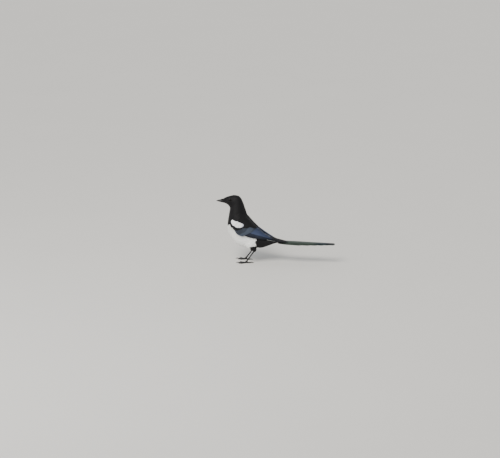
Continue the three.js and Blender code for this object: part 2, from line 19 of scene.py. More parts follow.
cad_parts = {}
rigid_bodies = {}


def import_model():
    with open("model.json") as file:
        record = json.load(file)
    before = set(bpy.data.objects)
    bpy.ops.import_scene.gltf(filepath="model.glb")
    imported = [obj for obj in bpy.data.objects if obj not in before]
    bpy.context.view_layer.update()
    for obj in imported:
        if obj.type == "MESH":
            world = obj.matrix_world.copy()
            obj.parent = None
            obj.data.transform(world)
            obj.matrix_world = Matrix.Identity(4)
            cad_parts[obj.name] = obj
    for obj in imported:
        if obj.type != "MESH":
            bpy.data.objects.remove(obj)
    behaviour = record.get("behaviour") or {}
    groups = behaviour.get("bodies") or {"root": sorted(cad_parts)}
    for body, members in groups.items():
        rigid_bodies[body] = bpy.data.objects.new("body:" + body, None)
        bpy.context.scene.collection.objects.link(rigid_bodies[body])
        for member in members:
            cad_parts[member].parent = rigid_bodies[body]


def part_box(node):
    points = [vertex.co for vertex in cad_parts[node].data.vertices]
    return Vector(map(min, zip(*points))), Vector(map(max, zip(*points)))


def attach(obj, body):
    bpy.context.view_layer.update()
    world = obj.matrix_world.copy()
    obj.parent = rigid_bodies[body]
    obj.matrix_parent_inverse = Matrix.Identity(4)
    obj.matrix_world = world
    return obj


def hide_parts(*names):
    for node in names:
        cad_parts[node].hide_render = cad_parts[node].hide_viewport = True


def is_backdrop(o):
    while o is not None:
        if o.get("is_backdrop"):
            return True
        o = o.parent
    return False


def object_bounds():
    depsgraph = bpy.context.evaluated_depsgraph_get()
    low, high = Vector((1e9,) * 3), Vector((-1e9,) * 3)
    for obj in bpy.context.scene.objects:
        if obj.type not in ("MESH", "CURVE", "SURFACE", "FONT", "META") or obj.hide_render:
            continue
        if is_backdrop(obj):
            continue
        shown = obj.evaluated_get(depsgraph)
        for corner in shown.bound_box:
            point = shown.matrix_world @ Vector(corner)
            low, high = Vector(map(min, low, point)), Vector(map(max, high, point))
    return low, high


bl_info = {
    "name": "Eurasian magpie",
    "version": (1, 0, 0),
    "blender": (4, 5, 0),
    "location": "View3D > Sidebar > Magpie",
    "description": "Builds the skin, plumage, bare parts and stage of a life-size magpie",
    "category": "Add Mesh",
}

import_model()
CAD_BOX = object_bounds()
MM = 0.001

# Body sections from the tail to the bill: back x and z, belly x and z, half the width, and how far
# the widest place sits above (+) or below (-) the middle. The first two are the flesh of the tail.
BODY = np.array([
    [140, 76.2, 140, 71.5, 8, 0],
    [117, 77.8, 117, 70.2, 14, 0],
    [95, 82.2, 93, 70, 19, 0.1],
    [62, 93.2, 54, 55, 24, 0],
    [44, 105, 36, 50, 27, -0.1],
    [27.5, 121.5, 14, 51.5, 31, -0.18],
    [8.5, 141, -14, 51.5, 34, -0.22],
    [-6, 157, -44, 60, 35, -0.18],
    [-15, 180, -72, 98, 34, -0.1],
    [-20, 197, -75, 130, 31, -0.05],
    [-25.5, 210, -70.5, 163, 25.5, 0],
    [-30, 219.5, -67.7, 181, 22, 0],
    [-38, 226.5, -69.5, 189, 20.5, -0.05],
    [-54, 228.8, -75, 195.7, 19, -0.12],
    [-70.5, 224.8, -82, 199.7, 15, -0.12],
    [-81, 221, -87, 201.4, 10.8, -0.1],
    [-90, 216, -91, 203.2, 7, 0],
])
# The surface that the folded wing lies on, from the shoulder to behind the wing tips
WING_BED = np.array([
    [-20, 198.5, -76, 129.5, 31.5, -0.05],
    [-14.5, 181.5, -73, 97, 34.5, -0.1],
    [-9, 169, -63, 73, 35.5, -0.15],
    [-5, 158, -44, 59.5, 35.5, -0.18],
    [9, 142, -13.5, 51, 34.5, -0.2],
    [28.5, 123, 15, 51, 31.5, -0.15],
    [46, 110, 38, 52, 29, -0.05],
    [63, 98.5, 58, 60, 26, 0],
    [81, 88, 77.5, 67, 22.5, 0],
    [100, 81, 98, 66, 21, 0],
    [121, 78, 119.5, 64, 20, 0],
    [136, 77, 135, 64, 19, 0],
])
SIDES = {"left": -1, "right": 1}

# Eye, lids and bill
EYE = {"x": -66, "z": 215.5, "y": 12.2, "radius": 5.2, "pupil": 2.2, "spokes": 46,
       "cornea": 0.035, "cornea_width": 0.45}
LID = {"out": 3.4, "long": 1.12, "tall": 0.96}
# The orbit: the skin sinks to the lid's depth inside its inner edge, and rises to a brow above its
# outer one. Only skin further out than the head's side belongs to it.
HEAD_SIDE = 8
ORBIT = {"inset": 1.3, "inner": 3.6, "outer": 5.4, "bare": (4.5, 4.6), "reach": 12,
         "brow": 0.9, "brow_at": 7, "brow_width": 1.8}
UPPER_BILL = np.array([
    [-83, 213.4, 205.3, 6.4],
    [-88, 213.6, 205.6, 6.2],
    [-97, 212.9, 206.2, 4.8],
    [-105, 211.2, 206.9, 3.2],
    [-111, 209.3, 207.2, 1.9],
    [-114.3, 207.6, 206.5, 0.6],
])
LOWER_BILL = np.array([
    [-83, 205, 201.1, 6],
    [-88, 205.3, 201.3, 5.8],
    [-97, 205.9, 202.9, 4.4],
    [-105, 206.6, 204.6, 2.8],
    [-111.5, 206.8, 206.1, 1.1],
])
ORIGIN = np.array([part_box("bill_upper")[0].x / MM - UPPER_BILL[-1][0], 0, 0])

# Legs: the joints of the left leg; the right one mirrors it and stands ahead
HIP = np.array([0, 18, 72])
ANKLE = np.array([19, 19, 46])
SOLE = np.array([-9, 21, 5.4])
STEP_AHEAD = {"left": 0, "right": -8}
HIP_SHARE = 0.2
ANKLE_SHARE = 0.7
THIGH_RADII = [19, 17.5, 12, 4.8]
# The thigh's surface runs a share of the shank past the ankle, to a last radius. None is under the least.
THIGH_END = {"share": 0.14, "radius": 2.2, "least": 1.5}
SHANK_RADII = [3.3, 2.5, 2.0, 2.0, 2.3, 2.9]
TOES = [
    {"name": "inner", "turn": 24, "length": 19, "claw": 7.5, "scutes": 10},
    {"name": "middle", "turn": 0, "length": 27, "claw": 9, "scutes": 14},
    {"name": "outer", "turn": -25, "length": 21, "claw": 7.5, "scutes": 11},
    {"name": "hind", "turn": 176, "length": 15, "claw": 11, "scutes": 8},
]
TOE_LINE = [[0, 3.8], [0.35, 1.8], [0.7, 1.7], [1, 1.4]]
TOE_RADII = [2.8, 2.3, 2.6, 2.0, 2.4, 1.9, 2.2, 1.6]
CLAW_LINE = [[0, 1.9], [0.35, 2.9], [0.75, 2.1], [1, 0.5]]
CLAW_RADII = [1.5, 1.3, 0.9, 0.3]
FOOT_TURN = -6
# The pad under the foot's joint, as an ellipsoid round the sole
HEEL = {"half": (5.6, 3.2, 3), "shift": (-0.8, 0, -1.4)}

# Rows of wing feathers, upper ones first. Distances run along the wing bed, angles are in degrees
# from the middle of the back, and shares spread the feathers between the two angles.
FLIGHT = {
    "near": 70, "far": 205, "near_angles": (25, 77), "far_angles": (3, 62), "spread": 1.2, "tuck": 0.6,
    "shares": [0, 0.085, 0.17, 0.255, 0.33, 0.405, 0.48, 0.555, 0.63, 0.69, 0.74, 0.79, 0.835, 0.88,
               0.92, 0.96, 1],
    "roots": [78, 75, 72, 66, 62, 58, 54, 50, 46, 43, 40, 37, 34, 32, 30, 27, 24],
    "tips": [126, 141, 153, 161, 165, 169, 170, 170, 167, 172, 178, 184, 190, 197, 203, 200, 190],
    "half": [10, 9.5, 9, 8, 8, 7.5, 7.5, 7.5, 7, 6.5, 6.5, 6, 6, 5.5, 5.5, 5, 5],
    "rachis": [0.1, 0.15, 0.2] + [0.35] * 6 + [0.45] * 8,
    "rounding": [14] * 3 + [11] * 6 + [16] * 8,
    "lift": [[0, -0.8], [20, -0.4], [40, 0.2], [60, 0.7], [80, 1.2], [100, 1.5], [120, 1.2], [160, -1],
             [200, -3]],
}
GREATER_COVERTS = {
    "near": 40, "far": 100, "near_angles": (44, 91), "far_angles": (38, 68), "spread": 1, "tuck": 1.2,
    "shares": np.linspace(0, 1, 12),
    "roots": np.interp(np.linspace(0, 1, 12), [0, 0.4, 1], [58, 49, 25]),
    "tips": np.interp(np.linspace(0, 1, 12), [0, 0.5, 1], [106, 98, 76]),
    "half": [6] * 12, "rachis": [0.25] * 12, "rounding": [8] * 12,
    "lift": [[25, 0.2], [45, 1], [65, 2.7], [85, 3.2], [105, 3.1]],
}
MEDIAN_COVERTS = {
    "near": 40, "far": 80, "near_angles": (54, 88), "far_angles": (46, 74), "spread": 1, "tuck": 1.8,
    "shares": np.linspace(0, 1, 10),
    "roots": np.interp(np.linspace(0, 1, 10), [0, 1], [40, 26]),
    "tips": np.interp(np.linspace(0, 1, 10), [0, 0.6, 1], [80, 74, 60]),
    "half": [5.5] * 10, "rachis": [0.15] * 10, "rounding": [7] * 10,
    "lift": [[24, 0.4], [42, 2.6], [54, 4.2], [68, 4.8], [80, 4.8]],
}
# The shoulder's tiers lie back over the wing: scapulars above, the lesser coverts below them.
# Their levels are the angles that they have at the front of the bed; the lie turns them up the side.
SHOULDER_LIE = [[-6, 7], [0, 0], [14, -18.5], [25, -32], [40, -44], [60, -57], [80, -71], [100, -84],
                [113, -93]]
SHOULDER_TIERS = [
    {"count": 9, "levels": (85, 114), "root": 66, "tips": [93, 106, 114, 114, 109],
     "lift": [[66, 2.6], [80, 4.2], [96, 4.4], [113, 3.4]], "sink": (50, 84, 130, 150)},
    {"count": 11, "levels": (80, 116), "root": 46, "tips": [80, 88, 92, 90, 84],
     "lift": [[46, 3.4], [62, 6.4], [90, 5.4]], "sink": (55, 88, 130, 150)},
    {"count": 12, "levels": (74, 130), "root": 26, "tips": [58, 64, 66, 62, 46],
     "lift": [[26, 1.2], [45, 4.8], [66, 7.2]], "sink": (66, 94, 124, 142)},
    {"count": 12, "levels": (74, 132), "root": 12, "tips": [42, 44, 46, 42, 36],
     "lift": [[12, 0.8], [28, 3.7], [50, 5.9]], "sink": (68, 96, 124, 142)},
    {"count": 11, "levels": (74, 132), "root": -3, "tips": [24, 27, 30, 27, 23],
     "lift": [[-3, -1.6], [10, 1.9], [32, 5.6]], "sink": (68, 96, 124, 142)},
]
# The white patch over the tiers: its middle along the bed, its middle level, and its reach
PATCH = {"where": 30, "level": 114.2, "long": 33, "tall": 9.3}


def shoulder_row(tier):
    """A tier as a row of feathers, which sinks into the body above and below."""
    share = np.linspace(0, 1, tier["count"])
    return {
        "levels": np.linspace(*tier["levels"], tier["count"]), "lie": SHOULDER_LIE,
        "shares": share, "roots": tier["root"] + 3 * share,
        "tips": np.interp(share, np.linspace(0, 1, 5), tier["tips"]) + 1.2 * np.sin(share * 40),
        "half": [5.4] * tier["count"], "rachis": [0.0] * tier["count"], "rounding": [9] * tier["count"],
        "lift": tier["lift"], "sink": tier["sink"],
    }


def shoulder_level(where, degrees):
    return degrees - on_line(where, SHOULDER_LIE)


# The wing's arm: its ends along the bed, its depth under it and its thickness over it, and its upper
# and lower edges in degrees
ARM = {"from": 4, "to": 104, "depth": -6, "thick": 1.2}
ARM_UPPER = [[0, 70], [50, 48], [104, 34]]
ARM_LOWER = {"least": 76, "bulge": 30, "middle": 16, "spread": 34}

# Tail feathers in pairs from the middle one out. Root and tip are the ends of the fan's middle line,
# the arch is its drop for each square millimetre to the side, and the fan spreads from near to far.
TAIL_ROOT = (84, 76.6)
TAIL_TIP = (286, 72)
TAIL_ARCH = 0.003
TAIL_TIPS = [286, 271, 252, 230, 206, 178]
TAIL_FAN = {"near": 96, "far": 180, "near_step": 1.5, "far_step": 2, "first": 2.4}
TAIL_HALF = 8.6
TAIL_LAYER = 0.9
# Length over which a tip is rounded, and how much wider the middle pair grows towards it
TAIL_ROUNDING = {"middle": 9, "others": 15}
TAIL_FLARE = 0.12

# The white of the belly: its upper edge in the middle and the rise of that to the flanks, its rear edge
# and the slope of that, the height of its lower edge over the thighs and behind a place, how far an edge
# is felt, half the body's width, and the degrees from the back where white can start
WHITE = {"breast": 124, "rise": 11, "vent": 25, "slope": 0.12, "thigh": 62, "behind": 8, "edge": 9,
         "half": 34, "side": 72}
# A pale band crosses the rump
RUMP_BAND = {"share": 0.3, "x": 56, "width": 8}
# Body stations between which the zones of the coat change over
STATIONS = {"tail": (0.9, 1.1), "belly": 6.6, "breast": (6.4, 9.3), "neck": 9.1, "head": (11.2, 11.8),
            "face": (13, 13.6)}
# Shares of thigh between which its own coat takes over, and the heights between which that ends
THIGH_EDGE = (0.4, 0.6)
THIGH_END_COAT = (44, 46)
# Lengths of the thigh's feathers at its top, and how much shorter they are at its end
THIGH_FEATHERS = {"top": 13, "less": 4}
# The slit of the mouth and the ring round the bill's root grow no feathers
MOUTH = {"z": 204.8, "slope": 0.06, "from": -83, "to": -75, "half": 0.45}
BILL_RING = (-91, -90.4)
# The skin that the wing's own feathers cover: its upper and lower edge in degrees at distances along the
# bed, the distances where it starts at some degrees, and those that it fades out between
COVERED_START = [[88, 7], [104, -3]]
COVERED_END = (118, 128)
COVERED_UPPER = [[0, 80], [40, 56], [60, 44], [104, 31], [150, 24]]
COVERED_LOWER = [[0, 134], [10, 126], [23, 109], [40, 99], [55, 92], [78, 83], [106, 77], [150, 72]]


# Settings


def linear(code, alpha=True):
    """The linear colour of an sRGB hex value."""
    parts = [int(code[i:i + 2], 16) / 255 for i in (0, 2, 4)]
    values = [c / 12.92 if c <= 0.04045 else ((c + 0.055) / 1.055) ** 2.4 for c in parts]
    return (*values, 1.0) if alpha else tuple(values)


def colour(name, words, code):
    return FloatVectorProperty(name=name, description=words, subtype="COLOR", size=4, min=0, max=1,
                               default=linear(code))


def length(name, words, value):
    return FloatProperty(name=name, description=words + ", in millimetres", default=value, min=0)


class MagpieColours(bpy.types.PropertyGroup):
    black: colour("Black", "Head, neck, breast, back, thighs and vent", "08080a")
    black_edge: colour("Black edge", "Worn edges of the black feathers", "141315")
    white: colour("White", "Belly, flanks and shoulder patch", "f2f2f0")
    white_root: colour("White root", "Roots of the white feathers", "c4c6c1")
    wing_blue: colour("Wing blue", "Sheen of the secondaries and tertials", "414b66")
    wing_dark: colour("Wing dark", "Edges and tips of the wing feathers", "0f1116")
    # Painted shade: the grey blue that stands for shade at the rear and round the edge of the shoulder patch
    patch_rear: colour("Patch rear", "Shaded rear of the shoulder patch", "a9adbb")
    covert_blue: colour("Covert blue", "Sheen of the wing coverts", "434c5a")
    tail_green: colour("Tail green", "Sheen along the middle of the tail", "4b574e")
    tail_blue: colour("Tail blue", "Sheen near the tip of the tail", "1f3033")
    tail_dark: colour("Tail dark", "Base and tip of the tail", "0d1214")
    bill: colour("Bill", "Horn of the bill", "0e0e0f")
    leg: colour("Leg", "Scutes of the legs and toes", "101011")
    claw: colour("Claw", "Horn of the claws", "0c0c0d")
    iris: colour("Iris", "Iris of the eyes", "0d0705")
    iris_spokes: colour("Iris spokes", "Fine spokes of the iris", "1f130c")
    pupil: colour("Pupil", "Pupils of the eyes", "070707")
    lid: colour("Lid", "Bare skin of the lids", "0a0a0b")
    lid_edge: colour("Lid edge", "Worn grain of the lids", "1a191a")
    skin: colour("Skin", "Bare skin under the feathers", "0e0d0d")
    floor: colour("Floor", "Plain floor", "d9d7d2")


class MagpieCoat(bpy.types.PropertyGroup):
    depth_head: length("Head coat depth", "Depth of the coat on the head", 0.9)
    depth_body: length("Body coat depth", "Depth of the coat on the body", 2.1)
    voxel: length("Skin voxel", "Grain of the skin", 1.1)
    spacing: FloatProperty(name="Spacing", description="Share of the usual distance between feathers",
                           default=1.0, min=0.5, max=3)
    jitter: FloatProperty(name="Jitter", description="How far feathers stray from the lie of the coat",
                          default=0.22, min=0, max=1)
    seed: IntProperty(name="Seed", description="Seed of the random draws", default=7)


class MagpieWing(bpy.types.PropertyGroup):
    vane: length("Vane", "Thickness of a wing feather", 0.32)
    tile: length("Tile", "Height from a feather to the next one in its row", 0.62)
    barb: length("Barb pitch", "Distance between barbs, drawn coarser than the real 0.3", 0.9)


class MagpieBareParts(bpy.types.PropertyGroup):
    bristles: IntProperty(name="Bristles", description="Bristles over the root of the bill", default=420)
    bristle_length: length("Bristle length", "Length of the longest bristle", 16)
    leg_scutes: IntProperty(name="Leg scutes", description="Plates along the front of a leg", default=9)


class MagpieStage(bpy.types.PropertyGroup):
    azimuth: FloatProperty(name="Azimuth", description="Camera's turn round the bird, in degrees", default=8)
    elevation: FloatProperty(name="Elevation", description="Camera's height angle, in degrees", default=16)
    distance: FloatProperty(name="Distance", description="From the camera to the bird", default=6,
                            unit="LENGTH")
    lens: FloatProperty(name="Lens", description="Focal length, in millimetres", default=129)
    aim: length("Aim", "Height that the camera aims at", 113.3)
    sun: FloatProperty(name="Key light", description="Strength of the key light", default=2.6)
    soft: FloatProperty(name="Soft light", description="Power of the panel light", default=22)
    sky: FloatProperty(name="Fill light", description="Strength of the light all round", default=0.75)


GROUPS = {
    "magpie_colours": MagpieColours,
    "magpie_coat": MagpieCoat,
    "magpie_wing": MagpieWing,
    "magpie_bare": MagpieBareParts,
    "magpie_stage": MagpieStage,
}


# Mesh and node tools


def place(points):
    """Points in the bird's millimetres as metres in the frame."""
    return (np.asarray(points, float) + ORIGIN) * MM


def mesh_object(name, points, faces, material=None):
    """An object from points in the bird's millimetres, smooth but for its sharp edges."""
    mesh = bpy.data.meshes.new(name)
    mesh.from_pydata(place(points).tolist(), [], [list(map(int, face)) for face in faces])
    mesh.update()
    mesh.shade_smooth()
    made = bpy.data.objects.new(name, mesh)
    bpy.context.scene.collection.objects.link(made)
    if material:
        mesh.materials.append(material)
    return made


def face_out(made):
    """Merges doubles and turns the faces outwards."""
    shape = bmesh.new()
    shape.from_mesh(made.data)
    bmesh.ops.remove_doubles(shape, verts=shape.verts, dist=1e-7)
    bmesh.ops.recalc_face_normals(shape, faces=shape.faces)
    shape.to_mesh(made.data)
    shape.free()
    made.data.shade_smooth()
    return made


def baked(made, name):
    """A plain mesh object of what an object's modifiers show, in place of that object."""
    graph = bpy.context.evaluated_depsgraph_get()
    graph.update()
    mesh = bpy.data.meshes.new_from_object(made.evaluated_get(graph))
    old = made.data
    bpy.data.objects.remove(made)
    if old.users == 0:
        bpy.data.meshes.remove(old)
    mesh.name = name
    result = bpy.data.objects.new(name, mesh)
    bpy.context.scene.collection.objects.link(result)
    return result


def store(mesh, name, values):
    """Writes a point attribute of a mesh from an array of numbers or of vectors."""
    values = np.asarray(values, np.float32)
    kind, key = ("FLOAT_VECTOR", "vector") if values.ndim > 1 else ("FLOAT", "value")
    attribute = mesh.attributes.get(name) or mesh.attributes.new(name, kind, "POINT")
    attribute.data.foreach_set(key, values.ravel())


def store_map(mesh, corners):
    """Writes the unwrap from one pair of numbers for each corner."""
    layer = mesh.uv_layers.get("OFBake") or mesh.uv_layers.new(name="OFBake")
    layer.uv.foreach_set("vector", np.asarray(corners, np.float32).ravel())


def corner_points(mesh):
    indices = np.empty(len(mesh.loops), np.int32)
    mesh.loops.foreach_get("vertex_index", indices)
    return indices


# Kinds of node that come up often
MATH = "ShaderNodeMath"
VECTOR = "ShaderNodeVectorMath"
COMBINE = "ShaderNodeCombineXYZ"
MIX = "ShaderNodeMix"
NOISE = "ShaderNodeTexNoise"
CELLS = "ShaderNodeTexVoronoi"
BUMP = "ShaderNodeBump"
PLACE = "ShaderNodeTexCoord"
ATTRIBUTE = "ShaderNodeAttribute"
STORE = "GeometryNodeStoreNamedAttribute"


def add_node(tree, kind, inputs=(), **settings):
    """Adds a node with its settings and its inputs, which come by name or in their order.

    An input is a value, or a socket or node to link. A node stands for its first output in use.
    """
    node = tree.nodes.new(kind)
    for key, value in settings.items():
        setattr(node, key, value)
    for key, value in inputs.items() if isinstance(inputs, dict) else enumerate(inputs):
        if isinstance(value, bpy.types.Node):
            value = next(socket for socket in value.outputs if socket.enabled)
        if isinstance(value, bpy.types.NodeSocket):
            tree.links.new(value, node.inputs[key])
        else:
            node.inputs[key].default_value = value
    return node


# Surfaces of the body


def on_line(where, line):
    """The value at a place on a line of pairs: a place and its value."""
    return np.interp(where, *np.transpose(line))


def bell(x, middle, width):
    """1 at the middle, fading out over a width to both sides."""
    return np.exp(-(((x - middle) / width) ** 2))


def read(stations, s):
    """Values along stations at the places s, on a Catmull-Rom curve."""
    values = np.asarray(stations, float)
    s = np.asarray(s, float)
    last = len(values) - 1
    k = np.clip(np.floor(s).astype(int), 0, last - 1)
    a, b, c, d = (values[np.clip(k + i, 0, last)] for i in (-1, 0, 1, 2))
    t = s - k
    if values.ndim > 1:
        t = t[..., None]
    slope_b = (c - a) / 2
    slope_c = (d - b) / 2
    curve = (2 * (b - c) + slope_b + slope_c) * t + 3 * (c - b) - 2 * slope_b - slope_c
    return (curve * t + slope_b) * t + b


def skin_point(stations, s, angle, grow):
    """Points on a surface of sections. The angle, in radians, runs from the back over +Y to the belly."""
    values = read(stations, s)
    back, belly = values[..., 0:2], values[..., 2:4]
    half, high = values[..., 4], values[..., 5]
    span = np.linalg.norm(back - belly, axis=-1)
    up = (back - belly) / span[..., None]
    side = np.sin(angle)
    height = (span / 2 + grow) * (np.cos(angle) + high * side**2)
    middle = (back + belly) / 2
    across = (half + grow) * side
    return np.stack([middle[..., 0] + up[..., 0] * height, across, middle[..., 1] + up[..., 1] * height], -1)


def middles(stations):
    return (stations[:, 0:2] + stations[:, 2:4]) / 2


BED_PLACES = np.concatenate([[0], np.cumsum(np.linalg.norm(np.diff(middles(WING_BED), axis=0), axis=1))])


def bed_station(where):
    """The station of the wing bed at a distance along it."""
    where = np.asarray(where, float)
    k = np.clip(np.searchsorted(BED_PLACES, where, side="right") - 1, 0, len(BED_PLACES) - 2)
    return k + (where - BED_PLACES[k]) / (BED_PLACES[k + 1] - BED_PLACES[k])


def bed_point(where, degrees, height):
    return skin_point(WING_BED, bed_station(where), np.radians(degrees), height)


def degrees_per_mm(where):
    """Degrees round the wing bed for each millimetre along its skin."""
    values = read(WING_BED, bed_station(where))
    tall = np.linalg.norm(values[..., 0:2] - values[..., 2:4], axis=-1) / 2
    return 180 / math.pi / np.hypot(tall, values[..., 4]) * math.sqrt(2)


def grid_faces(rows, columns, closed=True):
    """Faces between rings of points, each closed or an open row."""
    faces = []
    for k in range(rows - 1):
        for i in range(columns if closed else columns - 1):
            a = k * columns + i
            b = k * columns + (i + 1) % columns
            faces.append((a, b, b + columns, a + columns))
    return faces


def shell(rings):
    """Points and faces of a closed surface through rings, with a point at each end."""
    rings = np.asarray(rings, float)
    count, sides = rings.shape[:2]
    points = np.concatenate([rings.reshape(-1, 3), [rings[0].mean(0)], [rings[-1].mean(0)]])
    faces = grid_faces(count, sides)
    first, last = count * sides, count * sides + 1
    start = (count - 1) * sides
    for i in range(sides):
        j = (i + 1) % sides
        faces.append((first, j, i))
        faces.append((last, start + i, start + j))
    return points, faces


def joined(parts):
    """One list of points and one of faces from several."""
    points, faces, base = [], [], 0
    for some_points, some_faces in parts:
        points.append(some_points)
        faces += [tuple(int(i) + base for i in face) for face in some_faces]
        base += len(some_points)
    return np.concatenate(points), faces


def leg_joints(name):
    """Hip, ankle and sole of a leg."""
    side = SIDES[name]
    ahead = STEP_AHEAD[name]
    shares = (HIP_SHARE, ANKLE_SHARE, 1)
    return [np.array([joint[0] + ahead * share, side * joint[1], joint[2]])
            for joint, share in zip((HIP, ANKLE, SOLE), shares)]


def tube(line, radii, sides, steps, swell=None):
    """Rings along a curve. swell(t, angle) scales the radius; no point goes below the ground."""
    line = np.asarray(line, float)
    t = np.linspace(0, 1, steps + 1)
    centre = read(line, t * (len(line) - 1))
    ahead = np.gradient(centre, t, axis=0)
    ahead /= np.linalg.norm(ahead, axis=1)[:, None]
    across = np.cross([0, 0, 1], ahead)
    across /= np.linalg.norm(across, axis=1)[:, None]
    up = np.cross(ahead, across)
    angle = np.linspace(0, 2 * math.pi, sides, endpoint=False)
    radius = np.interp(t * (len(radii) - 1), np.arange(len(radii)), radii)[:, None] * np.ones(sides)
    if swell:
        radius = radius * swell(t[:, None], angle[None, :])
    rings = (centre[:, None] + across[:, None] * (radius * np.cos(angle))[..., None]
             + up[:, None] * (radius * np.sin(angle))[..., None])
    rings[..., 2] = np.maximum(rings[..., 2], 0)
    return rings


def thigh_rings(name, depth):
    """The thigh's surface, drawn out past the ankle so that its feathers can lie along it."""
    hip, ankle, sole = leg_joints(name)
    low = ankle + (sole - ankle) * THIGH_END["share"]
    radii = [max(r - depth, THIGH_END["least"]) for r in THIGH_RADII] + [THIGH_END["radius"]]
    return tube([hip, (hip + ankle) / 2, ankle, low], radii, sides=40, steps=24)


def arm_rings(side):
    """The wing's arm: a low cushion sunk into the side of the body."""
    rings = []
    for t in np.linspace(0, 1, 24):
        where = ARM["from"] + (ARM["to"] - ARM["from"]) * t
        upper = on_line(where, ARM_UPPER)
        lower = ARM_LOWER["least"] + ARM_LOWER["bulge"] * math.exp(
            -(((where - ARM_LOWER["middle"]) / ARM_LOWER["spread"]) ** 2))
        fullness = math.sqrt(max(1 - (2 * t - 1) ** 4, 0.1))
        u = np.linspace(-1, 1, 17)
        angle = (upper + lower + u * fullness * (lower - upper)) / 2
        outer = bed_point(np.full(17, where), angle, ARM["thick"] * fullness * np.sqrt(1.05 - u**4))
        inner = bed_point(np.full(17, where), angle, np.full(17, ARM["depth"]))[::-1]
        rings.append(np.concatenate([outer, inner]) * [1, side, 1])
    return rings


# Skin


def coat_depth(s, coat):
    """Depth of the coat at a body station: shallow on the head, full on the body."""
    share = np.clip((13.5 - s) / 4.5, 0, 1)
    return coat.depth_head + (coat.depth_body - coat.depth_head) * share * share * (3 - 2 * share)


def nearest(tree_points, points):
    """For each point, the index of the nearest of some others and its distance."""
    tree = KDTree(len(tree_points))
    for i, p in enumerate(tree_points):
        tree.insert(p, i)
    tree.balance()
    found = [tree.find(p) for p in points]
    return np.array([f[1] for f in found]), np.array([f[2] for f in found])


def unit(vectors):
    return vectors / np.maximum(np.linalg.norm(vectors, axis=-1, keepdims=True), 1e-9)


def smooth_step(x, low, high):
    t = np.clip((x - low) / (high - low), 0, 1)
    return t * t * (3 - 2 * t)


def build_skin(coat, material):
    """One closed skin over body, thighs and wing arms, with the lie and lengths of the coat on it."""
    s = np.linspace(0, len(BODY) - 1, 180)[:, None]
    angle = np.linspace(-math.pi, math.pi, 120, endpoint=False)[None, :]
    depth = coat_depth(s, coat)
    body = skin_point(BODY, s + 0 * angle, angle + 0 * s, -depth + 0 * angle)
    parts = [shell(body)]
    for name, side in SIDES.items():
        parts.append(shell(thigh_rings(name, coat.depth_body)))
        parts.append(shell(arm_rings(side)))
    made = face_out(mesh_object("skin_shells", *joined(parts)))
    remesh = made.modifiers.new("merge", "REMESH")
    remesh.mode = "VOXEL"
    remesh.voxel_size = coat.voxel * MM
    ease = made.modifiers.new("ease", "SMOOTH")
    ease.factor = 0.5
    ease.iterations = 5
    made = baked(made, "skin")
    seams = near_seams(vertices_of(made), body, coat)
    set_vertices(made, eased(made.data, vertices_of(made), seams, 40))
    sink_orbits(made)
    made.data.shade_smooth()
    made.data.materials.append(material)
    mark_skin(made, coat, body, s, angle, seams)
    return made


# Seams are eased over about this width, and only above the ankles
SEAM_WIDTH = 5
SEAM_FLOOR = 48


def near_seams(points, body, coat):
    """1 where a thigh or a wing's arm meets the body, fading out over a few millimetres."""
    from_body = nearest(body.reshape(-1, 3), points)[1]
    share = np.zeros(len(points))
    for name, side in SIDES.items():
        for rings in (thigh_rings(name, coat.depth_body), arm_rings(side)):
            away = nearest(np.reshape(rings, (-1, 3)), points)[1]
            share = np.maximum(share, np.exp(-(from_body**2 + away**2) / (2 * SEAM_WIDTH**2)))
    return np.where(points[:, 2] > SEAM_FLOOR, share, 0)


def eased(mesh, values, share, rounds):
    """Vectors at a mesh's vertices, evened out with their neighbours' by a share."""
    ends = np.empty(len(mesh.edges) * 2, np.int32)
    mesh.edges.foreach_get("vertices", ends)
    first, second = ends.reshape(-1, 2).T
    neighbours = np.maximum(np.bincount(ends, minlength=len(values)), 1)
    for _ in range(rounds):
        total = np.stack([np.bincount(first, column[second], len(values))
                          + np.bincount(second, column[first], len(values)) for column in values.T], -1)
        values = values + 0.8 * share[:, None] * (total / neighbours[:, None] - values)
    return values


def set_vertices(made, points):
    made.data.vertices.foreach_set("co", place(points).astype(np.float32).ravel())
    made.data.update()


def vertices_of(made):
    """Vertex places in the bird's millimetres."""
    points = np.empty(len(made.data.vertices) * 3, np.float32)
    made.data.vertices.foreach_get("co", points)
    return points.reshape(-1, 3).astype(float) / MM - ORIGIN


def from_eye(points):
    """Distance from the eye's axis, in an oval that is as long and tall as the lids."""
    return np.hypot((points[:, 0] - EYE["x"]) / LID["long"], (points[:, 2] - EYE["z"]) / LID["tall"])


def sink_orbits(made):
    """Draws the skin in round each eye, under a low brow, so that the lids stand in an orbit."""
    points = vertices_of(made)
    reach = from_eye(points)
    lid_place = EYE["y"] + LID["out"] - ORBIT["inset"]
    share = 1 - smooth_step(reach, ORBIT["inner"], ORBIT["outer"])
    side = np.sign(points[:, 1])
    flat = np.abs(points[:, 1])
    sunk = flat + (np.minimum(flat, lid_place) - flat) * share
    above = smooth_step(points[:, 2] - EYE["z"], 0, 4)
    brow = ORBIT["brow"] * above * bell(reach, ORBIT["brow_at"], ORBIT["brow_width"])
    near = (reach < ORBIT["reach"]) & (flat > HEAD_SIDE)
    points[near, 1] = (side * (sunk + brow))[near]
    set_vertices(made, points)


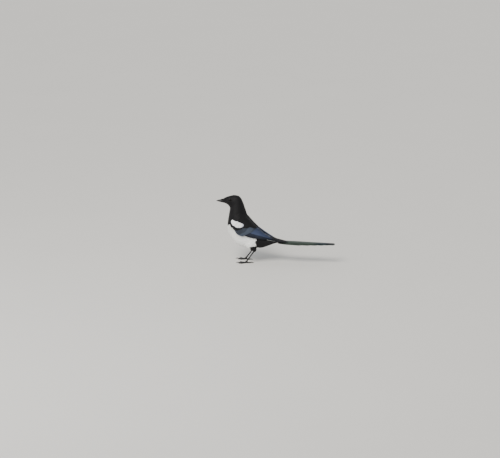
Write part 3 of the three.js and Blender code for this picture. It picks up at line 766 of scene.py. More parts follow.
def black_and_white(points, on_thigh, angle):
    """The white of the belly and flanks, the pale band over the rump, and the edge of the white."""
    x, y, z = points.T
    breast_line = WHITE["breast"] + WHITE["rise"] * np.minimum((np.abs(y) / WHITE["half"]) ** 2, 1.4)
    vent_line = WHITE["vent"] + 3 * np.sin(z / 7) + WHITE["slope"] * (z - 60)
    behind = (on_thigh > 0.35) | (x > WHITE["behind"])
    below = np.abs(angle) > math.radians(WHITE["side"])
    belly = (z < breast_line) & (x < vent_line) & ~(behind & (z < WHITE["thigh"])) & below
    rump = RUMP_BAND["share"] * bell(x, RUMP_BAND["x"], RUMP_BAND["width"])
    rump = rump * (1 - smooth_step(np.abs(angle), 0.3, 0.7))
    away = np.minimum(np.abs(z - breast_line), np.abs(x - vent_line))
    away = np.where(behind, np.minimum(away, np.abs(z - WHITE["thigh"])), away)
    return belly.astype(float), rump, bell(away, 0, WHITE["edge"]) * below


# Lengths of the body feathers in mm at body stations
FEATHER_LENGTHS = [[0, 24], [2, 23], [4, 21], [6, 19], [8, 17], [9.5, 14.5], [11, 11.5], [12.5, 8],
                   [14, 5.6], [15, 3.8], [16, 2.6]]


def mark_skin(made, coat, body, s, angle, seams):
    """Stores the coat's lie, length, markings and an unwrap on the skin's vertices."""
    points = vertices_of(made)
    count = angle.shape[1]
    found, far = nearest(body.reshape(-1, 3), points)
    s_of = s[found // count, 0]
    angle_of = angle[0, found % count]

    step = 0.05
    depth = coat_depth(s_of, coat)
    ahead = skin_point(BODY, s_of + step, angle_of, -depth) - skin_point(BODY, s_of - step, angle_of, -depth)
    lie = flow_round_eyes(points, -unit(ahead))

    unwrap = np.stack([0.01 + 0.68 * (angle_of / (2 * math.pi) + 0.5),
                       0.01 + 0.98 * s_of / (len(BODY) - 1)], -1)
    on_thigh = np.zeros(len(points))
    size = on_line(s_of, FEATHER_LENGTHS)
    thigh_maps = []
    for k, name in enumerate(SIDES):
        rings = thigh_rings(name, coat.depth_body)
        place_of, distance = nearest(rings.reshape(-1, 3), points)
        sides = rings.shape[1]
        along = (place_of // sides) / (len(rings) - 1)
        turn = (place_of % sides) / sides
        share = smooth_step(far - distance, -2.5, 3.5) * smooth_step(along, 0.1, 0.5)
        hip, ankle, _ = leg_joints(name)
        down = unit(ankle - hip)
        lie = unit(lie * (1 - share[:, None]) + down * share[:, None])
        on_thigh = np.maximum(on_thigh, share)
        size = size * (1 - share) + share * (THIGH_FEATHERS["top"] - THIGH_FEATHERS["less"] * along)
        thigh_maps.append((share > 0.5, np.stack([0.72 + 0.26 * turn, 0.02 + 0.48 * k + 0.44 * along], -1)))
    lie = unit(eased(made.data, lie, np.minimum(seams * 2, 1), 30))
    arm, beside = under_wing(points)
    white, _, edge = black_and_white(points, on_thigh, angle_of)
    size = size * (1 - 0.28 * edge) * (1 - 0.25 * beside)
    round_eye = 0.42 + 0.58 * smooth_step(from_eye(points), 5, ORBIT["reach"])
    size = size * np.where(np.abs(points[:, 1]) > HEAD_SIDE, round_eye, 1)
    loft = (1 - 0.5 * beside) * (0.45 + 0.55 * smooth_step(s_of, 1, 5))
    shown, band, _ = black_and_white(points + lie * size[:, None] * 0.85, on_thigh, angle_of)
    mesh = made.data
    marks = {"lie": lie, "size": size, "loft": loft, "white": np.maximum(white, band), "band": band,
             "mark": shown}
    for zone, mask in zones(points, s_of, angle_of, on_thigh, arm).items():
        marks["zone_" + zone] = mask
    for name, values in marks.items():
        store(mesh, name, values)
    corners = corner_points(mesh)
    unwrapped = unwrap[corners]
    for mask, other in thigh_maps:
        inside = mask[corners]
        unwrapped[inside] = other[corners][inside]
    store_map(mesh, mend_seams(mesh, unwrapped))


def mend_seams(mesh, corners):
    """Keeps the faces that straddle the unwrap's seam on one side of it."""
    totals = np.empty(len(mesh.polygons), np.int32)
    mesh.polygons.foreach_get("loop_total", totals)
    starts = np.empty(len(mesh.polygons), np.int32)
    mesh.polygons.foreach_get("loop_start", starts)
    first = np.repeat(corners[starts], totals, axis=0)
    astray = np.abs(corners - first).max(1) > 0.1
    corners = corners.copy()
    corners[astray] = first[astray]
    return corners


def flow_round_eyes(points, lie):
    """Bends the lie of the coat round each eye as water parts round a post."""
    for side in SIDES.values():
        away = np.stack([points[:, 0] - EYE["x"], np.zeros(len(points)), points[:, 2] - EYE["z"]], -1)
        reach = np.maximum(np.linalg.norm(away, axis=1), 3.5)
        out = away / reach[:, None]
        share = np.where(points[:, 1] * side > 6, np.minimum((4.6 / reach) ** 2, 1), 0)
        lie = unit(lie + share[:, None] * (lie - 2 * (lie * out).sum(1)[:, None] * out))
    return lie


def under_wing(points):
    """1 where the wing's own feathers cover the skin, and 1 on a strip round that place."""
    where = np.linspace(-6, 150, 110)[:, None]
    degrees = np.linspace(10, 140, 80)[None, :]
    bed = bed_point(where + 0 * degrees, degrees + 0 * where, 0.5)
    mirrored = np.stack([points[:, 0], np.abs(points[:, 1]), points[:, 2]], -1)
    found, distance = nearest(bed.reshape(-1, 3), mirrored)
    along = where[found // degrees.shape[1], 0]
    turn = degrees[0, found % degrees.shape[1]]
    upper = on_line(along, COVERED_UPPER)
    lower = on_line(along, COVERED_LOWER)
    near = (1 - smooth_step(along, *COVERED_END)) * (distance < 8)
    inside = smooth_step(turn, upper - 2, upper + 3) * (1 - smooth_step(turn, lower - 3, lower + 1))
    beside = smooth_step(turn, upper - 10, upper - 3) * (1 - smooth_step(turn, lower + 3, lower + 12))
    start = on_line(turn, COVERED_START)
    return inside * smooth_step(along - start, 0, 3) * near, beside * near


def zones(points, s, angle, on_thigh, arm):
    """Where each piece of the coat grows, as shares of its full density."""
    x, y, z = points.T
    body = 1 - smooth_step(on_thigh, *THIGH_EDGE)
    bill_ring = smooth_step(x, *BILL_RING)
    eye_free = np.where(np.abs(y) > HEAD_SIDE, smooth_step(from_eye(points), *ORBIT["bare"]), 1)
    from_slit = np.abs(z - MOUTH["z"] + MOUTH["slope"] * (x - MOUTH["from"]))
    mouth = np.where((from_slit < MOUTH["half"]) & (x < MOUTH["to"]), 0, 1)
    head = smooth_step(s, *STATIONS["head"])
    face = smooth_step(s, *STATIONS["face"])
    neck = (s > STATIONS["neck"]).astype(float)
    free = 1 - arm
    upper = (np.abs(angle) < math.pi / 2).astype(float)
    tail_end = smooth_step(s, *STATIONS["tail"])
    breast_from, breast_to = STATIONS["breast"]
    return {
        "face": face * bill_ring * eye_free * mouth,
        "head": head * (1 - face) * eye_free * mouth,
        "neck": neck * (1 - head) * free,
        "back": (1 - neck) * upper * body * free * tail_end,
        "breast": (s < breast_to) * (1 - upper) * body * free * (s > breast_from),
        "belly": (1 - upper) * body * free * tail_end * (s <= STATIONS["belly"]),
        "thighs": smooth_step(on_thigh, *THIGH_EDGE) * smooth_step(z, *THIGH_END_COAT),
    }


# Small body feathers


def contour_feather(name, cells, cleft, blunt):
    """A small feather of unit width and length: a thin closed vane with parted barbs along its rim.

    Its height over the skin is the attribute rise, from 0 at the root to 1 at the tip.
    """
    # Cells are closer towards the tip; the vane widens to 0.6 of its length and closes from there
    y = 1 - (1 - np.linspace(0, 1, cells + 1)) ** 1.35
    closing = np.clip((y - 0.6) / 0.41, 0, 1) ** (2 * blunt)
    half = 0.5 * np.clip(y / 0.6 + 0.06, 0, 1) ** 0.7 * np.sqrt(1 - closing)
    half[-1] = 0.06
    slope, thick = 0.42, 0.16
    points, faces, tops = [], [], []

    def add(px, py, rise):
        points.append((px, py, rise))
        return len(points) - 1

    def rise_at(px, py):
        return min(py * 2.2, 0.55) + 0.45 * py - 0.35 * (2 * px) ** 2

    def along_barb(v, h):
        return (v + slope * h * (1 - 0.85 * v**3)) / last

    last = 1 + 0.15 * slope * half[-1]
    spine_top = [add(0, v / last, rise_at(0, v)) for v in y]
    spine_low = [add(0, v / last, rise_at(0, v) - thick) for v in y]
    for side in (-1, 1):
        rim = [add(side * h, along_barb(v, h), rise_at(h, v)) for v, h in zip(y, half)]
        notch = []
        for k in range(cells):
            depth = cleft * (0.3 + 0.7 * y[k]) * (0.75 + 0.5 * math.sin(k * 2.4 + side + cleft * 40) ** 2)
            inner = (half[k] + half[k + 1]) / 2 * (1 - depth)
            v = (y[k] + y[k + 1]) / 2
            notch.append(add(side * inner, along_barb(v, inner), rise_at(inner, v) + 0.04))
        for k in range(cells):
            for spine, low in ((spine_top, False), (spine_low, True)):
                for face in ((spine[k], rim[k], notch[k]), (spine[k], notch[k], spine[k + 1]),
                             (spine[k + 1], notch[k], rim[k + 1])):
                    faces.append(face if (side > 0) != low else face[::-1])
                    tops.append(not low)
        faces.append((spine_low[0], spine_top[0], rim[0])[::side])
        faces.append((spine_top[-1], spine_low[-1], rim[-1])[::side])
        tops += ["end", "end"]
    mesh = bpy.data.meshes.new(name)
    flat = [(p[0], p[1], 0) for p in points]
    mesh.from_pydata(flat, [], faces)
    mesh.update()
    store(mesh, "rise", [p[2] for p in points])
    store(mesh, "vane", flat)
    sharpen_rim(mesh, tops)
    return bpy.data.objects.new(name, mesh)


def sharpen_rim(mesh, tops):
    """Marks the edges between a feather's two faces, and those of its ends, as sharp."""
    mesh.shade_smooth()
    sides = {}
    for face, top in zip(mesh.polygons, tops):
        for key in face.edge_keys:
            sides.setdefault(key, set()).add(top)
    for edge in mesh.edges:
        edge.use_edge_sharp = len(sides[edge.key]) > 1


COAT_INPUTS = {
    "Geometry": "Geometry", "Zone": "String", "Feathers": "Collection", "Kinds": "Int", "Spacing": "Float",
    "Width": "Float", "Lift": "Float", "Length": "Float", "Jitter": "Float", "Seed": "Int",
    "Patch": "Float", "Material": "Material",
}
# Attributes that the coat's tree reads: those of the skin, of each feather's place, and of its mesh
COAT_ATTRIBUTES = {
    "lie": "FLOAT_VECTOR", "size": "FLOAT", "loft": "FLOAT", "OFBake": "FLOAT_VECTOR",
    "span": "FLOAT_VECTOR", "chance": "FLOAT", "spot": "FLOAT_VECTOR",
    "rise": "FLOAT", "vane": "FLOAT_VECTOR",
}
# Random draws of each feather, from a low to a high value, in the order of their seeds
COAT_DRAWS = {"long": (0.86, 1.14), "wide": (0.85, 1.15), "chance": (0, 1), "kind": (0, 0.9999)}


def coat_tree(name):
    """Geometry Nodes: feathers scattered over a zone of the skin, laid along it and bent to it."""
    tree = bpy.data.node_groups.new(name, "GeometryNodeTree")
    for label, kind in COAT_INPUTS.items():
        tree.interface.new_socket(label, in_out="INPUT", socket_type="NodeSocket" + kind)
    tree.interface.new_socket("Geometry", in_out="OUTPUT", socket_type="NodeSocketGeometry")
    add = partial(add_node, tree)
    given = add("NodeGroupInput").outputs
    skin = given["Geometry"]
    stored = {label: add("GeometryNodeInputNamedAttribute", {"Name": label}, data_type=kind)
              for label, kind in COAT_ATTRIBUTES.items()}
    drawn = {}
    for number, (label, (low, high)) in enumerate(COAT_DRAWS.items(), 2):
        seed = add(MATH, (given["Seed"], number), operation="ADD")
        drawn[label] = add("FunctionNodeRandomValue", {2: low, 3: high, "Seed": seed}, data_type="FLOAT")

    # Feathers at random places, each turned along the lie of the coat and scaled to its size there
    mask = add("GeometryNodeInputNamedAttribute", {"Name": given["Zone"]}, data_type="FLOAT")
    spots = add("GeometryNodeDistributePointsOnFaces", {
        "Mesh": skin, "Distance Min": given["Spacing"], "Density Max": 4e6, "Density Factor": mask,
        "Seed": given["Seed"]}, distribute_method="POISSON")
    seed = add(MATH, (given["Seed"], 1), operation="ADD")
    stray = add("FunctionNodeRandomValue", {0: (-1, -1, -1), 1: (1, 1, 1), "Seed": seed},
                data_type="FLOAT_VECTOR")
    stray = add(VECTOR, {0: stray, "Scale": given["Jitter"]}, operation="SCALE")
    lie = add(VECTOR, (stored["lie"], stray), operation="ADD")
    turn = add("FunctionNodeAxesToRotation", {"Primary Axis": spots.outputs["Normal"], "Secondary Axis": lie},
               primary_axis="Z", secondary_axis="Y")
    long = add(MATH, (stored["size"], given["Length"]), operation="MULTIPLY")
    long = add(MATH, (long, drawn["long"]), operation="MULTIPLY")
    wide = add(MATH, (given["Width"], drawn["wide"]), operation="MULTIPLY")
    wide = add(MATH, (long, wide), operation="MULTIPLY")
    span = add(COMBINE, (wide, long, 0.001))
    current = spots.outputs["Points"]
    for label, value in (("span", span), ("chance", drawn["chance"]), ("spot", stored["OFBake"])):
        current = add(STORE, {"Geometry": current, "Name": label, "Value": value},
                      data_type=COAT_ATTRIBUTES[label], domain="POINT")
    kinds = add("GeometryNodeCollectionInfo", {
        "Collection": given["Feathers"], "Separate Children": True, "Reset Children": True})
    pick = add(MATH, (drawn["kind"], given["Kinds"]), operation="MULTIPLY")
    pick = add(MATH, (pick,), operation="FLOOR")
    laid = add("GeometryNodeInstanceOnPoints", {
        "Points": current, "Instance": kinds, "Pick Instance": True, "Instance Index": pick,
        "Rotation": turn, "Scale": add(VECTOR, {0: span, "Scale": MM}, operation="SCALE")})
    real = add("GeometryNodeRealizeInstances", {"Geometry": laid})

    # Every point of a feather goes to the skin under it, and out from there by its rise
    near = add("GeometryNodeProximity", {"Geometry": skin}, target_element="FACES")
    out = add("GeometryNodeSampleNearestSurface", {"Mesh": skin, "Value": add("GeometryNodeInputNormal")},
              data_type="FLOAT_VECTOR")
    out = add(VECTOR, (out.outputs["Value"],), operation="NORMALIZE")
    uneven = add(MATH, (stored["chance"], 0.35), operation="MULTIPLY")
    uneven = add(MATH, (uneven, 0.82), operation="ADD")
    uneven = add(MATH, (uneven, stored["loft"]), operation="MULTIPLY")
    rise = add(MATH, (stored["rise"], given["Lift"]), operation="MULTIPLY")
    rise = add(MATH, (rise, uneven), operation="MULTIPLY")
    rise = add(MATH, (rise, MM), operation="MULTIPLY")
    lifted = add(VECTOR, {0: out, "Scale": rise}, operation="SCALE")
    bent = add("GeometryNodeSetPosition", {
        "Geometry": real,
        "Position": add(VECTOR, (near.outputs["Position"], lifted), operation="ADD")})

    # Each feather is a small patch at its root's place on the skin's unwrap, and keeps its real measure
    patch = add(VECTOR, {0: stored["vane"], "Scale": given["Patch"]}, operation="SCALE")
    spot = add(VECTOR, (stored["spot"], patch), operation="ADD")
    mapped = add(STORE, {"Geometry": bent, "Name": "OFBake", "Value": spot},
                 data_type="FLOAT2", domain="CORNER")
    sized = add(VECTOR, (stored["vane"], stored["span"]), operation="MULTIPLY")
    number = add(COMBINE, {"Z": stored["chance"]})
    vane = add(VECTOR, (sized, number), operation="ADD")
    measured = add(STORE, {"Geometry": mapped, "Name": "vane", "Value": vane},
                   data_type="FLOAT_VECTOR", domain="POINT")
    dressed = add("GeometryNodeSetMaterial", {"Geometry": measured, "Material": given["Material"]})
    add("NodeGroupOutput", {"Geometry": dressed})
    return tree


def grow(tree, host, name, settings):
    """Runs a tree on a copy of an object, and keeps the result as a plain mesh."""
    carrier = bpy.data.objects.new(name, host.data.copy())
    bpy.context.scene.collection.objects.link(carrier)
    modifier = carrier.modifiers.new("grow", "NODES")
    modifier.node_group = tree
    sockets = {item.name: item.identifier for item in tree.interface.items_tree if item.in_out == "INPUT"}
    for label, value in settings.items():
        modifier[sockets[label]] = value
    return baked(carrier, name)


# The coat's pieces: distance between feathers in mm, width as a share of length, lift in mm,
# length as a share of what the skin says, and the kind of feather
COAT_PIECES = {
    "face": {"spacing": 0.72, "width": 0.23, "lift": 0.5, "length": 1.3, "kind": "hairy"},
    "head": {"spacing": 0.95, "width": 0.24, "lift": 0.66, "length": 1.3, "kind": "hairy"},
    "neck": {"spacing": 1.6, "width": 0.27, "lift": 1.2, "length": 1.0, "kind": "loose"},
    "back": {"spacing": 2.3, "width": 0.34, "lift": 1.6, "length": 0.9, "kind": "loose"},
    "breast": {"spacing": 1.85, "width": 0.35, "lift": 1.6, "length": 0.9, "kind": "loose"},
    "belly": {"spacing": 2.1, "width": 0.32, "lift": 1.8, "length": 0.85, "kind": "loose"},
    "thighs": {"spacing": 1.7, "width": 0.3, "lift": 1.4, "length": 1.0, "kind": "loose"},
}
# Kinds of small feather: cells along the rim, and for each of its forms the depth of the clefts and
# the bluntness
FEATHER_KINDS = {
    "hairy": {"cells": 4, "forms": [(0.38, 0.6), (0.5, 0.75), (0.45, 0.85)]},
    "loose": {"cells": 8, "forms": [(0.02, 0.95), (0.08, 1.1), (0.05, 1.25)]},
}

# Size of a small feather's patch on the unwrap
MAP_PATCH = 0.003


def build_coat(skin, coat, material):
    """The small feathers of head, neck, body and thighs."""
    kinds = {}
    for kind, form in FEATHER_KINDS.items():
        kinds[kind] = bpy.data.collections.new(kind + "_feathers")
        for k, (cleft, blunt) in enumerate(form["forms"]):
            kinds[kind].objects.link(contour_feather(f"{kind}_{k}", form["cells"], cleft, blunt))
    tree = coat_tree("coat")
    pieces = []
    for order, (zone, form) in enumerate(COAT_PIECES.items()):
        pieces.append(grow(tree, skin, "coat_" + zone, {
            "Zone": "zone_" + zone, "Feathers": kinds[form["kind"]],
            "Kinds": len(FEATHER_KINDS[form["kind"]]["forms"]),
            "Spacing": form["spacing"] * coat.spacing * MM, "Width": form["width"], "Lift": form["lift"],
            "Length": form["length"], "Jitter": coat.jitter, "Seed": coat.seed + 20 * order,
            "Patch": MAP_PATCH, "Material": material}))
    for group in kinds.values():
        for feather in list(group.objects):
            bpy.data.objects.remove(feather)
        bpy.data.collections.remove(group)
    return pieces


# Wing and tail feathers


def vane_faces(rows, columns):
    """Faces of a closed plate: an upper and a lower grid joined round their rim."""
    upper = grid_faces(rows, columns, closed=False)
    half = rows * columns
    faces = [face[::-1] for face in upper] + [tuple(i + half for i in face) for face in upper]
    rim = list(range(columns))
    rim += [k * columns + columns - 1 for k in range(1, rows)]
    rim += [(rows - 1) * columns + i for i in range(columns - 2, -1, -1)]
    rim += [k * columns for k in range(rows - 2, 0, -1)]
    for a, b in zip(rim, rim[1:] + rim[:1]):
        faces.append((a, b, b + half, a + half))
    return faces


class Plumes:
    """Gathers large feathers into one mesh, with a strip of the unwrap for each."""

    def __init__(self, count):
        self.count = count
        self.parts = []
        self.vanes = []
        self.tones = []
        self.strips = []

    def add(self, upper, lower, across, along, tone, mirror):
        """Adds a feather from its upper and lower grids, its distances from the shaft, and its tones."""
        rows, columns = across.shape
        points = np.concatenate([upper.reshape(-1, 3), lower.reshape(-1, 3)])
        faces = vane_faces(rows, columns)
        if mirror < 0:
            points = points * [1, -1, 1]
        else:
            faces = [face[::-1] for face in faces]
        chance = np.full(across.size, math.modf(math.sin(len(self.parts) * 12.9898) * 43758.5453)[0] % 1)
        vane = np.stack([across.ravel(), along.ravel(), chance], -1)
        u = np.linspace(0.04, 0.96, columns)[None, :] + 0 * across
        v = np.linspace(0.005, 0.995, rows)[:, None] + 0 * across
        strip = np.stack([(len(self.parts) + u.ravel()) / self.count, v.ravel()], -1)
        self.parts.append((points, faces))
        self.vanes.append(np.tile(vane, (2, 1)))
        self.tones.append(np.tile(np.broadcast_to(tone, across.shape).ravel(), 2))
        self.strips.append(np.tile(strip, (2, 1)))

    def build(self, name, material):
        made = mesh_object(name, *joined(self.parts), material)
        mesh = made.data
        store(mesh, "vane", np.concatenate(self.vanes))
        store(mesh, "tone", np.concatenate(self.tones))
        store_map(mesh, np.concatenate(self.strips)[corner_points(mesh)])
        mesh.set_sharp_from_angle(angle=math.radians(50))
        return made


def columns_across(rachis, shaft=0.05):
    """Places across a vane from -1 to 1, with its shaft at rachis."""
    left = np.linspace(-1, rachis - shaft, 6)
    right = np.linspace(rachis + shaft, 1, 5)
    return np.concatenate([left, [rachis], right])


def across_web(u, rachis):
    """How far across its half of the vane each place is, from 0 at the shaft to 1 at the edge."""
    return np.abs(u - rachis) / np.where(u < rachis, 1 + rachis, 1 - rachis)


def row_angles(row, where):
    """The angle of each feather of a row at each place: places down, feathers across."""
    if "levels" in row:
        return row["levels"][None, :] + on_line(where, row["lie"])[:, None]
    share = np.asarray(row["shares"])[None, :]
    near = row["near_angles"][0] + (row["near_angles"][1] - row["near_angles"][0]) * share
    spread = share ** row["spread"]
    far = row["far_angles"][0] + (row["far_angles"][1] - row["far_angles"][0]) * spread
    t = ((np.asarray(where) - row["near"]) / (row["far"] - row["near"]))[:, None]
    return near + (far - near) * t


def feather_number(angles, degrees):
    """Which feather of a row, as a fraction, has its middle at an angle."""
    numbers = np.arange(len(angles))
    inside = np.interp(degrees, angles, numbers)
    low = (degrees - angles[0]) / (angles[1] - angles[0])
    high = len(angles) - 1 + (degrees - angles[-1]) / (angles[-1] - angles[-2])
    return np.where(degrees < angles[0], low, np.where(degrees > angles[-1], high, inside))


# Feathers of the wing come down onto the back between these degrees from its middle, by this drop
CREST = (7, 44)
CREST_DROP = 2.6
# A vane has this share of its width at its root, opens fully over this length, and reaches at most this
# many spacings of its row to each side
ROOT_SHARE = 0.45
OPENING = 45
TILE_REACH = 2.3
# How deep a feather's root dives under the row above, and over what length
ROOT_DIVE = (3.2, 16)
# How much the width of a vane strays, as a share of it
RIPPLE = 0.025
# Degrees from the lowest feather of a row over which the row is tucked in
TUCK_REACH = (-16, 6)
# A tier's feathers sink to a height, and deeper between two distances along the bed. Below the tier
# they sink by a share only.
SINK = {"height": -1, "deeper": 2, "from": 60, "to": 110, "share": 0.8}
# Heights of a vane's arch and of the ridge along its shaft
CAMBER = {"wing": 0.22, "tail": 0.25}
SHAFT_RIDGE = {"wing": 0.26, "tail": 0.3}
# A vane thins by this share from its shaft to its edge
VANE_THINNING = 0.45


def row_feather(plumes, row, number, wing, side, tone):
    """One feather of a wing row, laid over the next one in the row like a roof tile."""
    root, tip = float(row["roots"][number]), float(row["tips"][number])
    steps = 40
    t = 1 - (1 - np.linspace(0, 1, steps)) ** 1.5
    where = root + (tip - root) * t
    angles = row_angles(row, where)
    per_mm = degrees_per_mm(where)
    centre = angles[:, number]
    before = angles[:, max(number - 1, 0)]
    after = angles[:, min(number + 1, angles.shape[1] - 1)]
    gaps = 2 if 0 < number < angles.shape[1] - 1 else 1
    spacing = (after - before) / gaps / per_mm
    opening = np.minimum(ROOT_SHARE + (where - root) / OPENING, 1)
    to_tip = np.minimum((tip - where) / row["rounding"][number], 1)
    closing = np.sqrt(np.maximum(1 - (1 - to_tip) ** 2, 0.004))
    wave = 1 + RIPPLE * np.sin(where * 0.9 + number * 2.1) * np.sin(where * 0.23 + number)
    reach = np.minimum(row["half"][number], TILE_REACH * spacing) * opening * closing * wave
    rachis = row["rachis"][number]
    u = columns_across(rachis)
    across = u[None, :] * reach[:, None]
    degrees = centre[:, None] + across * per_mm[:, None]
    count = np.array([feather_number(a, d) for a, d in zip(angles, degrees)])
    lift = on_line(where, row["lift"])[:, None]
    if "sink" in row:
        # Above and below its levels a tier sinks under the feathers round it
        level = shoulder_level(where[:, None], degrees)
        above, full, from_level, below = row["sink"]
        held = smooth_step(level, above, full) * smooth_step(degrees, *CREST)
        floor = SINK["height"] - SINK["deeper"] * smooth_step(where, SINK["from"], SINK["to"])[:, None]
        held = held * (1 - SINK["share"] * smooth_step(level, from_level, below))
        lift = floor + (lift - floor) * held
    else:
        level = degrees - angles[:, -1:]
        lift = lift - row["tuck"] * smooth_step(level, *TUCK_REACH)
        lift = lift - CREST_DROP * (1 - smooth_step(degrees, *CREST))
    dive = ROOT_DIVE[0] * (1 - smooth_step(where - root, 0, ROOT_DIVE[1]))[:, None]
    height = lift - dive + wing.tile * (count - number)
    web = across_web(u, rachis)
    camber = CAMBER["wing"] * np.sin(np.clip(web, 0, 1) * math.pi)
    ridge = np.where(np.isclose(u, rachis), SHAFT_RIDGE["wing"], 0)
    height = height + (camber + ridge)[None, :] * opening[:, None]
    thick = wing.vane * (1 - VANE_THINNING * web)[None, :]
    upper = bed_point(where[:, None] + 0 * across, degrees, height + thick / 2)
    lower = bed_point(where[:, None] + 0 * across, degrees, height - ridge[None, :] - thick / 2)
    from_shaft = across - rachis * reach[:, None]
    along = (where - root)[:, None] + 0 * across
    plumes.add(upper, lower, from_shaft, along, tone(where[:, None], degrees), side)


def build_row(name, row, wing, side, material, tone):
    count = len(row["shares"])
    plumes = Plumes(count)
    for number in range(count):
        row_feather(plumes, row, number, wing, side, partial(tone, number))
    return plumes.build(name, material)


def flight_tone(number, where, degrees):
    """0 dark, 1 full blue: tertials and secondaries shine, primaries are darker.

    The lowest primary shows a little of its white web, which is -1.
    """
    base = 0.75 if number < 3 else 1.0 if number < 9 else 0.3 - 0.035 * (number - 9)
    tone = base * (1 - 0.6 * smooth_step(where, 150, 175)) + 0 * degrees
    if number == 16:
        edge = np.arange(degrees.shape[1])[None, :] > 6
        tone = np.where(edge & (where > 152) & (where < 180), -1, tone)
    return tone


def greater_tone(number, where, degrees):
    return 0.9 - 0.3 * smooth_step(where, 90, 106) - 0.5 * smooth_step(degrees, 92, 106)


def median_tone(number, where, degrees):
    return 0.4 + 0.2 * smooth_step(where, 56, 76) - 0.4 * smooth_step(degrees, 92, 104)


def patch_tone(number, where, degrees):
    """Over 0.5 on the white patch, less at its rear as painted shade, 0 round it; its edge strays a little.
    """
    stray = 0.07 * math.sin(number * 5.3 + where[0, 0])
    level = shoulder_level(where, degrees)
    reach = np.hypot((where - PATCH["where"]) / PATCH["long"], (level - PATCH["level"]) / PATCH["tall"])
    # Painted shade: the tone falls towards the patch's rear, where its white turns grey blue
    shaded = 1 - 0.4 * smooth_step(where, 42, 62)
    return (1 - smooth_step(reach + stray, 0.86, 1.14)) * shaded


def build_wing(name, wing, finish):
    """Flight feathers, greater and median coverts, and the shoulder's tiers of one folded wing."""
    rows = [("flight", FLIGHT, "wing", flight_tone),
            ("greater_coverts", GREATER_COVERTS, "covert", greater_tone),
            ("median_coverts", MEDIAN_COVERTS, "covert", median_tone)]
    rows += [(f"shoulder_{k}", shoulder_row(tier), "shoulder", patch_tone)
             for k, tier in enumerate(SHOULDER_TIERS)]
    return [build_row(f"wing_{name}_{part}", row, wing, SIDES[name], finish[kind], tone)
            for part, row, kind, tone in rows]


def tail_point(x, y, height):
    share = (x - TAIL_ROOT[0]) / (TAIL_TIP[0] - TAIL_ROOT[0])
    middle = TAIL_ROOT[1] + (TAIL_TIP[1] - TAIL_ROOT[1]) * share
    return np.stack([x, y, middle + height - TAIL_ARCH * y * y], -1)


def build_tail(wing, material):
    """Six pairs of graduated tail feathers; the middle pair lies on top."""
    plumes = Plumes(2 * len(TAIL_TIPS))
    for pair, tip in enumerate(TAIL_TIPS):
        for side in (1, -1):
            tail_feather(plumes, wing, pair, tip, side)
    return plumes.build("tail_feathers", material)


def tail_feather(plumes, wing, pair, tip, side):
    """A tail feather, in its layer of the fan. Those of the middle pair are wider towards the tip."""
    near, far = TAIL_FAN["near"], TAIL_FAN["far"]
    layer = pair + 1 if pair else int(side < 0)
    x = near + (tip - near) * (1 - (1 - np.linspace(0, 1, 64)) ** 1.4)
    t = (x - x[0]) / (tip - x[0])
    step = np.interp(x, [near, far], [TAIL_FAN["near_step"], TAIL_FAN["far_step"]])
    middle = TAIL_FAN["first"] + step * pair
    rounding = np.clip((x - tip) / TAIL_ROUNDING["others" if pair else "middle"] + 1, 0, 1)
    closing = np.sqrt(np.maximum(1 - rounding**2, 0.003))
    wave = 1 + 0.015 * np.sin(x * 0.5 + pair * 1.7 + side) + 0.01 * np.sin(x * 1.3 + pair)
    wide = 1 if pair else 1 + TAIL_FLARE * smooth_step(t, 0.5, 0.9)
    half = TAIL_HALF * wide * np.minimum(0.45 + t * 1.8, 1) * closing * wave
    rachis = 0.12 + 0.05 * pair if pair else 0.0
    u = columns_across(rachis)
    across = u[None, :] * half[:, None]
    y = middle[:, None] + across
    if pair > 0:
        y = np.maximum(y, 0.3)
    web = np.clip(across_web(u, rachis), 0, 1)
    ridge = np.where(np.isclose(u, rachis), SHAFT_RIDGE["tail"], 0)
    camber = (CAMBER["tail"] * np.sin(web * math.pi) + ridge)[None, :] * (1 - 0.5 * t)[:, None]
    thick = wing.vane * (1 - VANE_THINNING * web)[None, :] + 0 * across
    height = -TAIL_LAYER * layer + camber
    grid = x[:, None] + 0 * across
    upper = tail_point(grid, y, height)
    lower = tail_point(grid, y, height - ridge[None, :] - thick)
    tone = (x - near) / (TAIL_TIPS[0] - near)
    plumes.add(upper, lower, y - (middle + rachis * half)[:, None], grid - x[0], tone[:, None], side)


# Bill, bristles, eyes and lids


def bill_rings(stations, above):
    """Rings of a bill half: rounded with a low ridge on one side, nearly flat where the halves meet."""
    sides, steps = 36, 8
    values = read(stations, np.linspace(0, len(stations) - 1, (len(stations) - 1) * steps + 1))
    angle = np.linspace(0, 2 * math.pi, sides, endpoint=False) + math.pi / sides
    rise, wide = np.cos(angle), np.sin(angle)
    rings = []
    for x, top, bottom, half in values:
        tall = top - bottom
        ridge = np.maximum(rise, 0) ** 0.92 * tall
        width = np.where(rise > 0, wide, np.sign(wide) * np.sqrt(np.abs(wide)))
        z = bottom + ridge if above else top - ridge
        rings.append(np.stack([np.full(sides, x), half * width, z], -1))
    return rings


def build_bill(material):
    upper = face_out(mesh_object("bill_upper_horn", *shell(bill_rings(UPPER_BILL, True)), material))
    lower = face_out(mesh_object("bill_lower_horn", *shell(bill_rings(LOWER_BILL, False)), material))
    for made in (upper, lower):
        made.data.set_sharp_from_angle(angle=math.radians(45))
    return upper, lower


# Bristles: where their roots are round the bill, in degrees, and along it, where the longest end,
# and how thick they are at the root beyond the tip's radius. They are drawn thicker than real ones,
# so that they show.
BRISTLE_TURN = (-88, 176)
BRISTLE_START = (-81, -8)
BRISTLE_END = -98.5
BRISTLE_RADII = (0.34, 0.03)


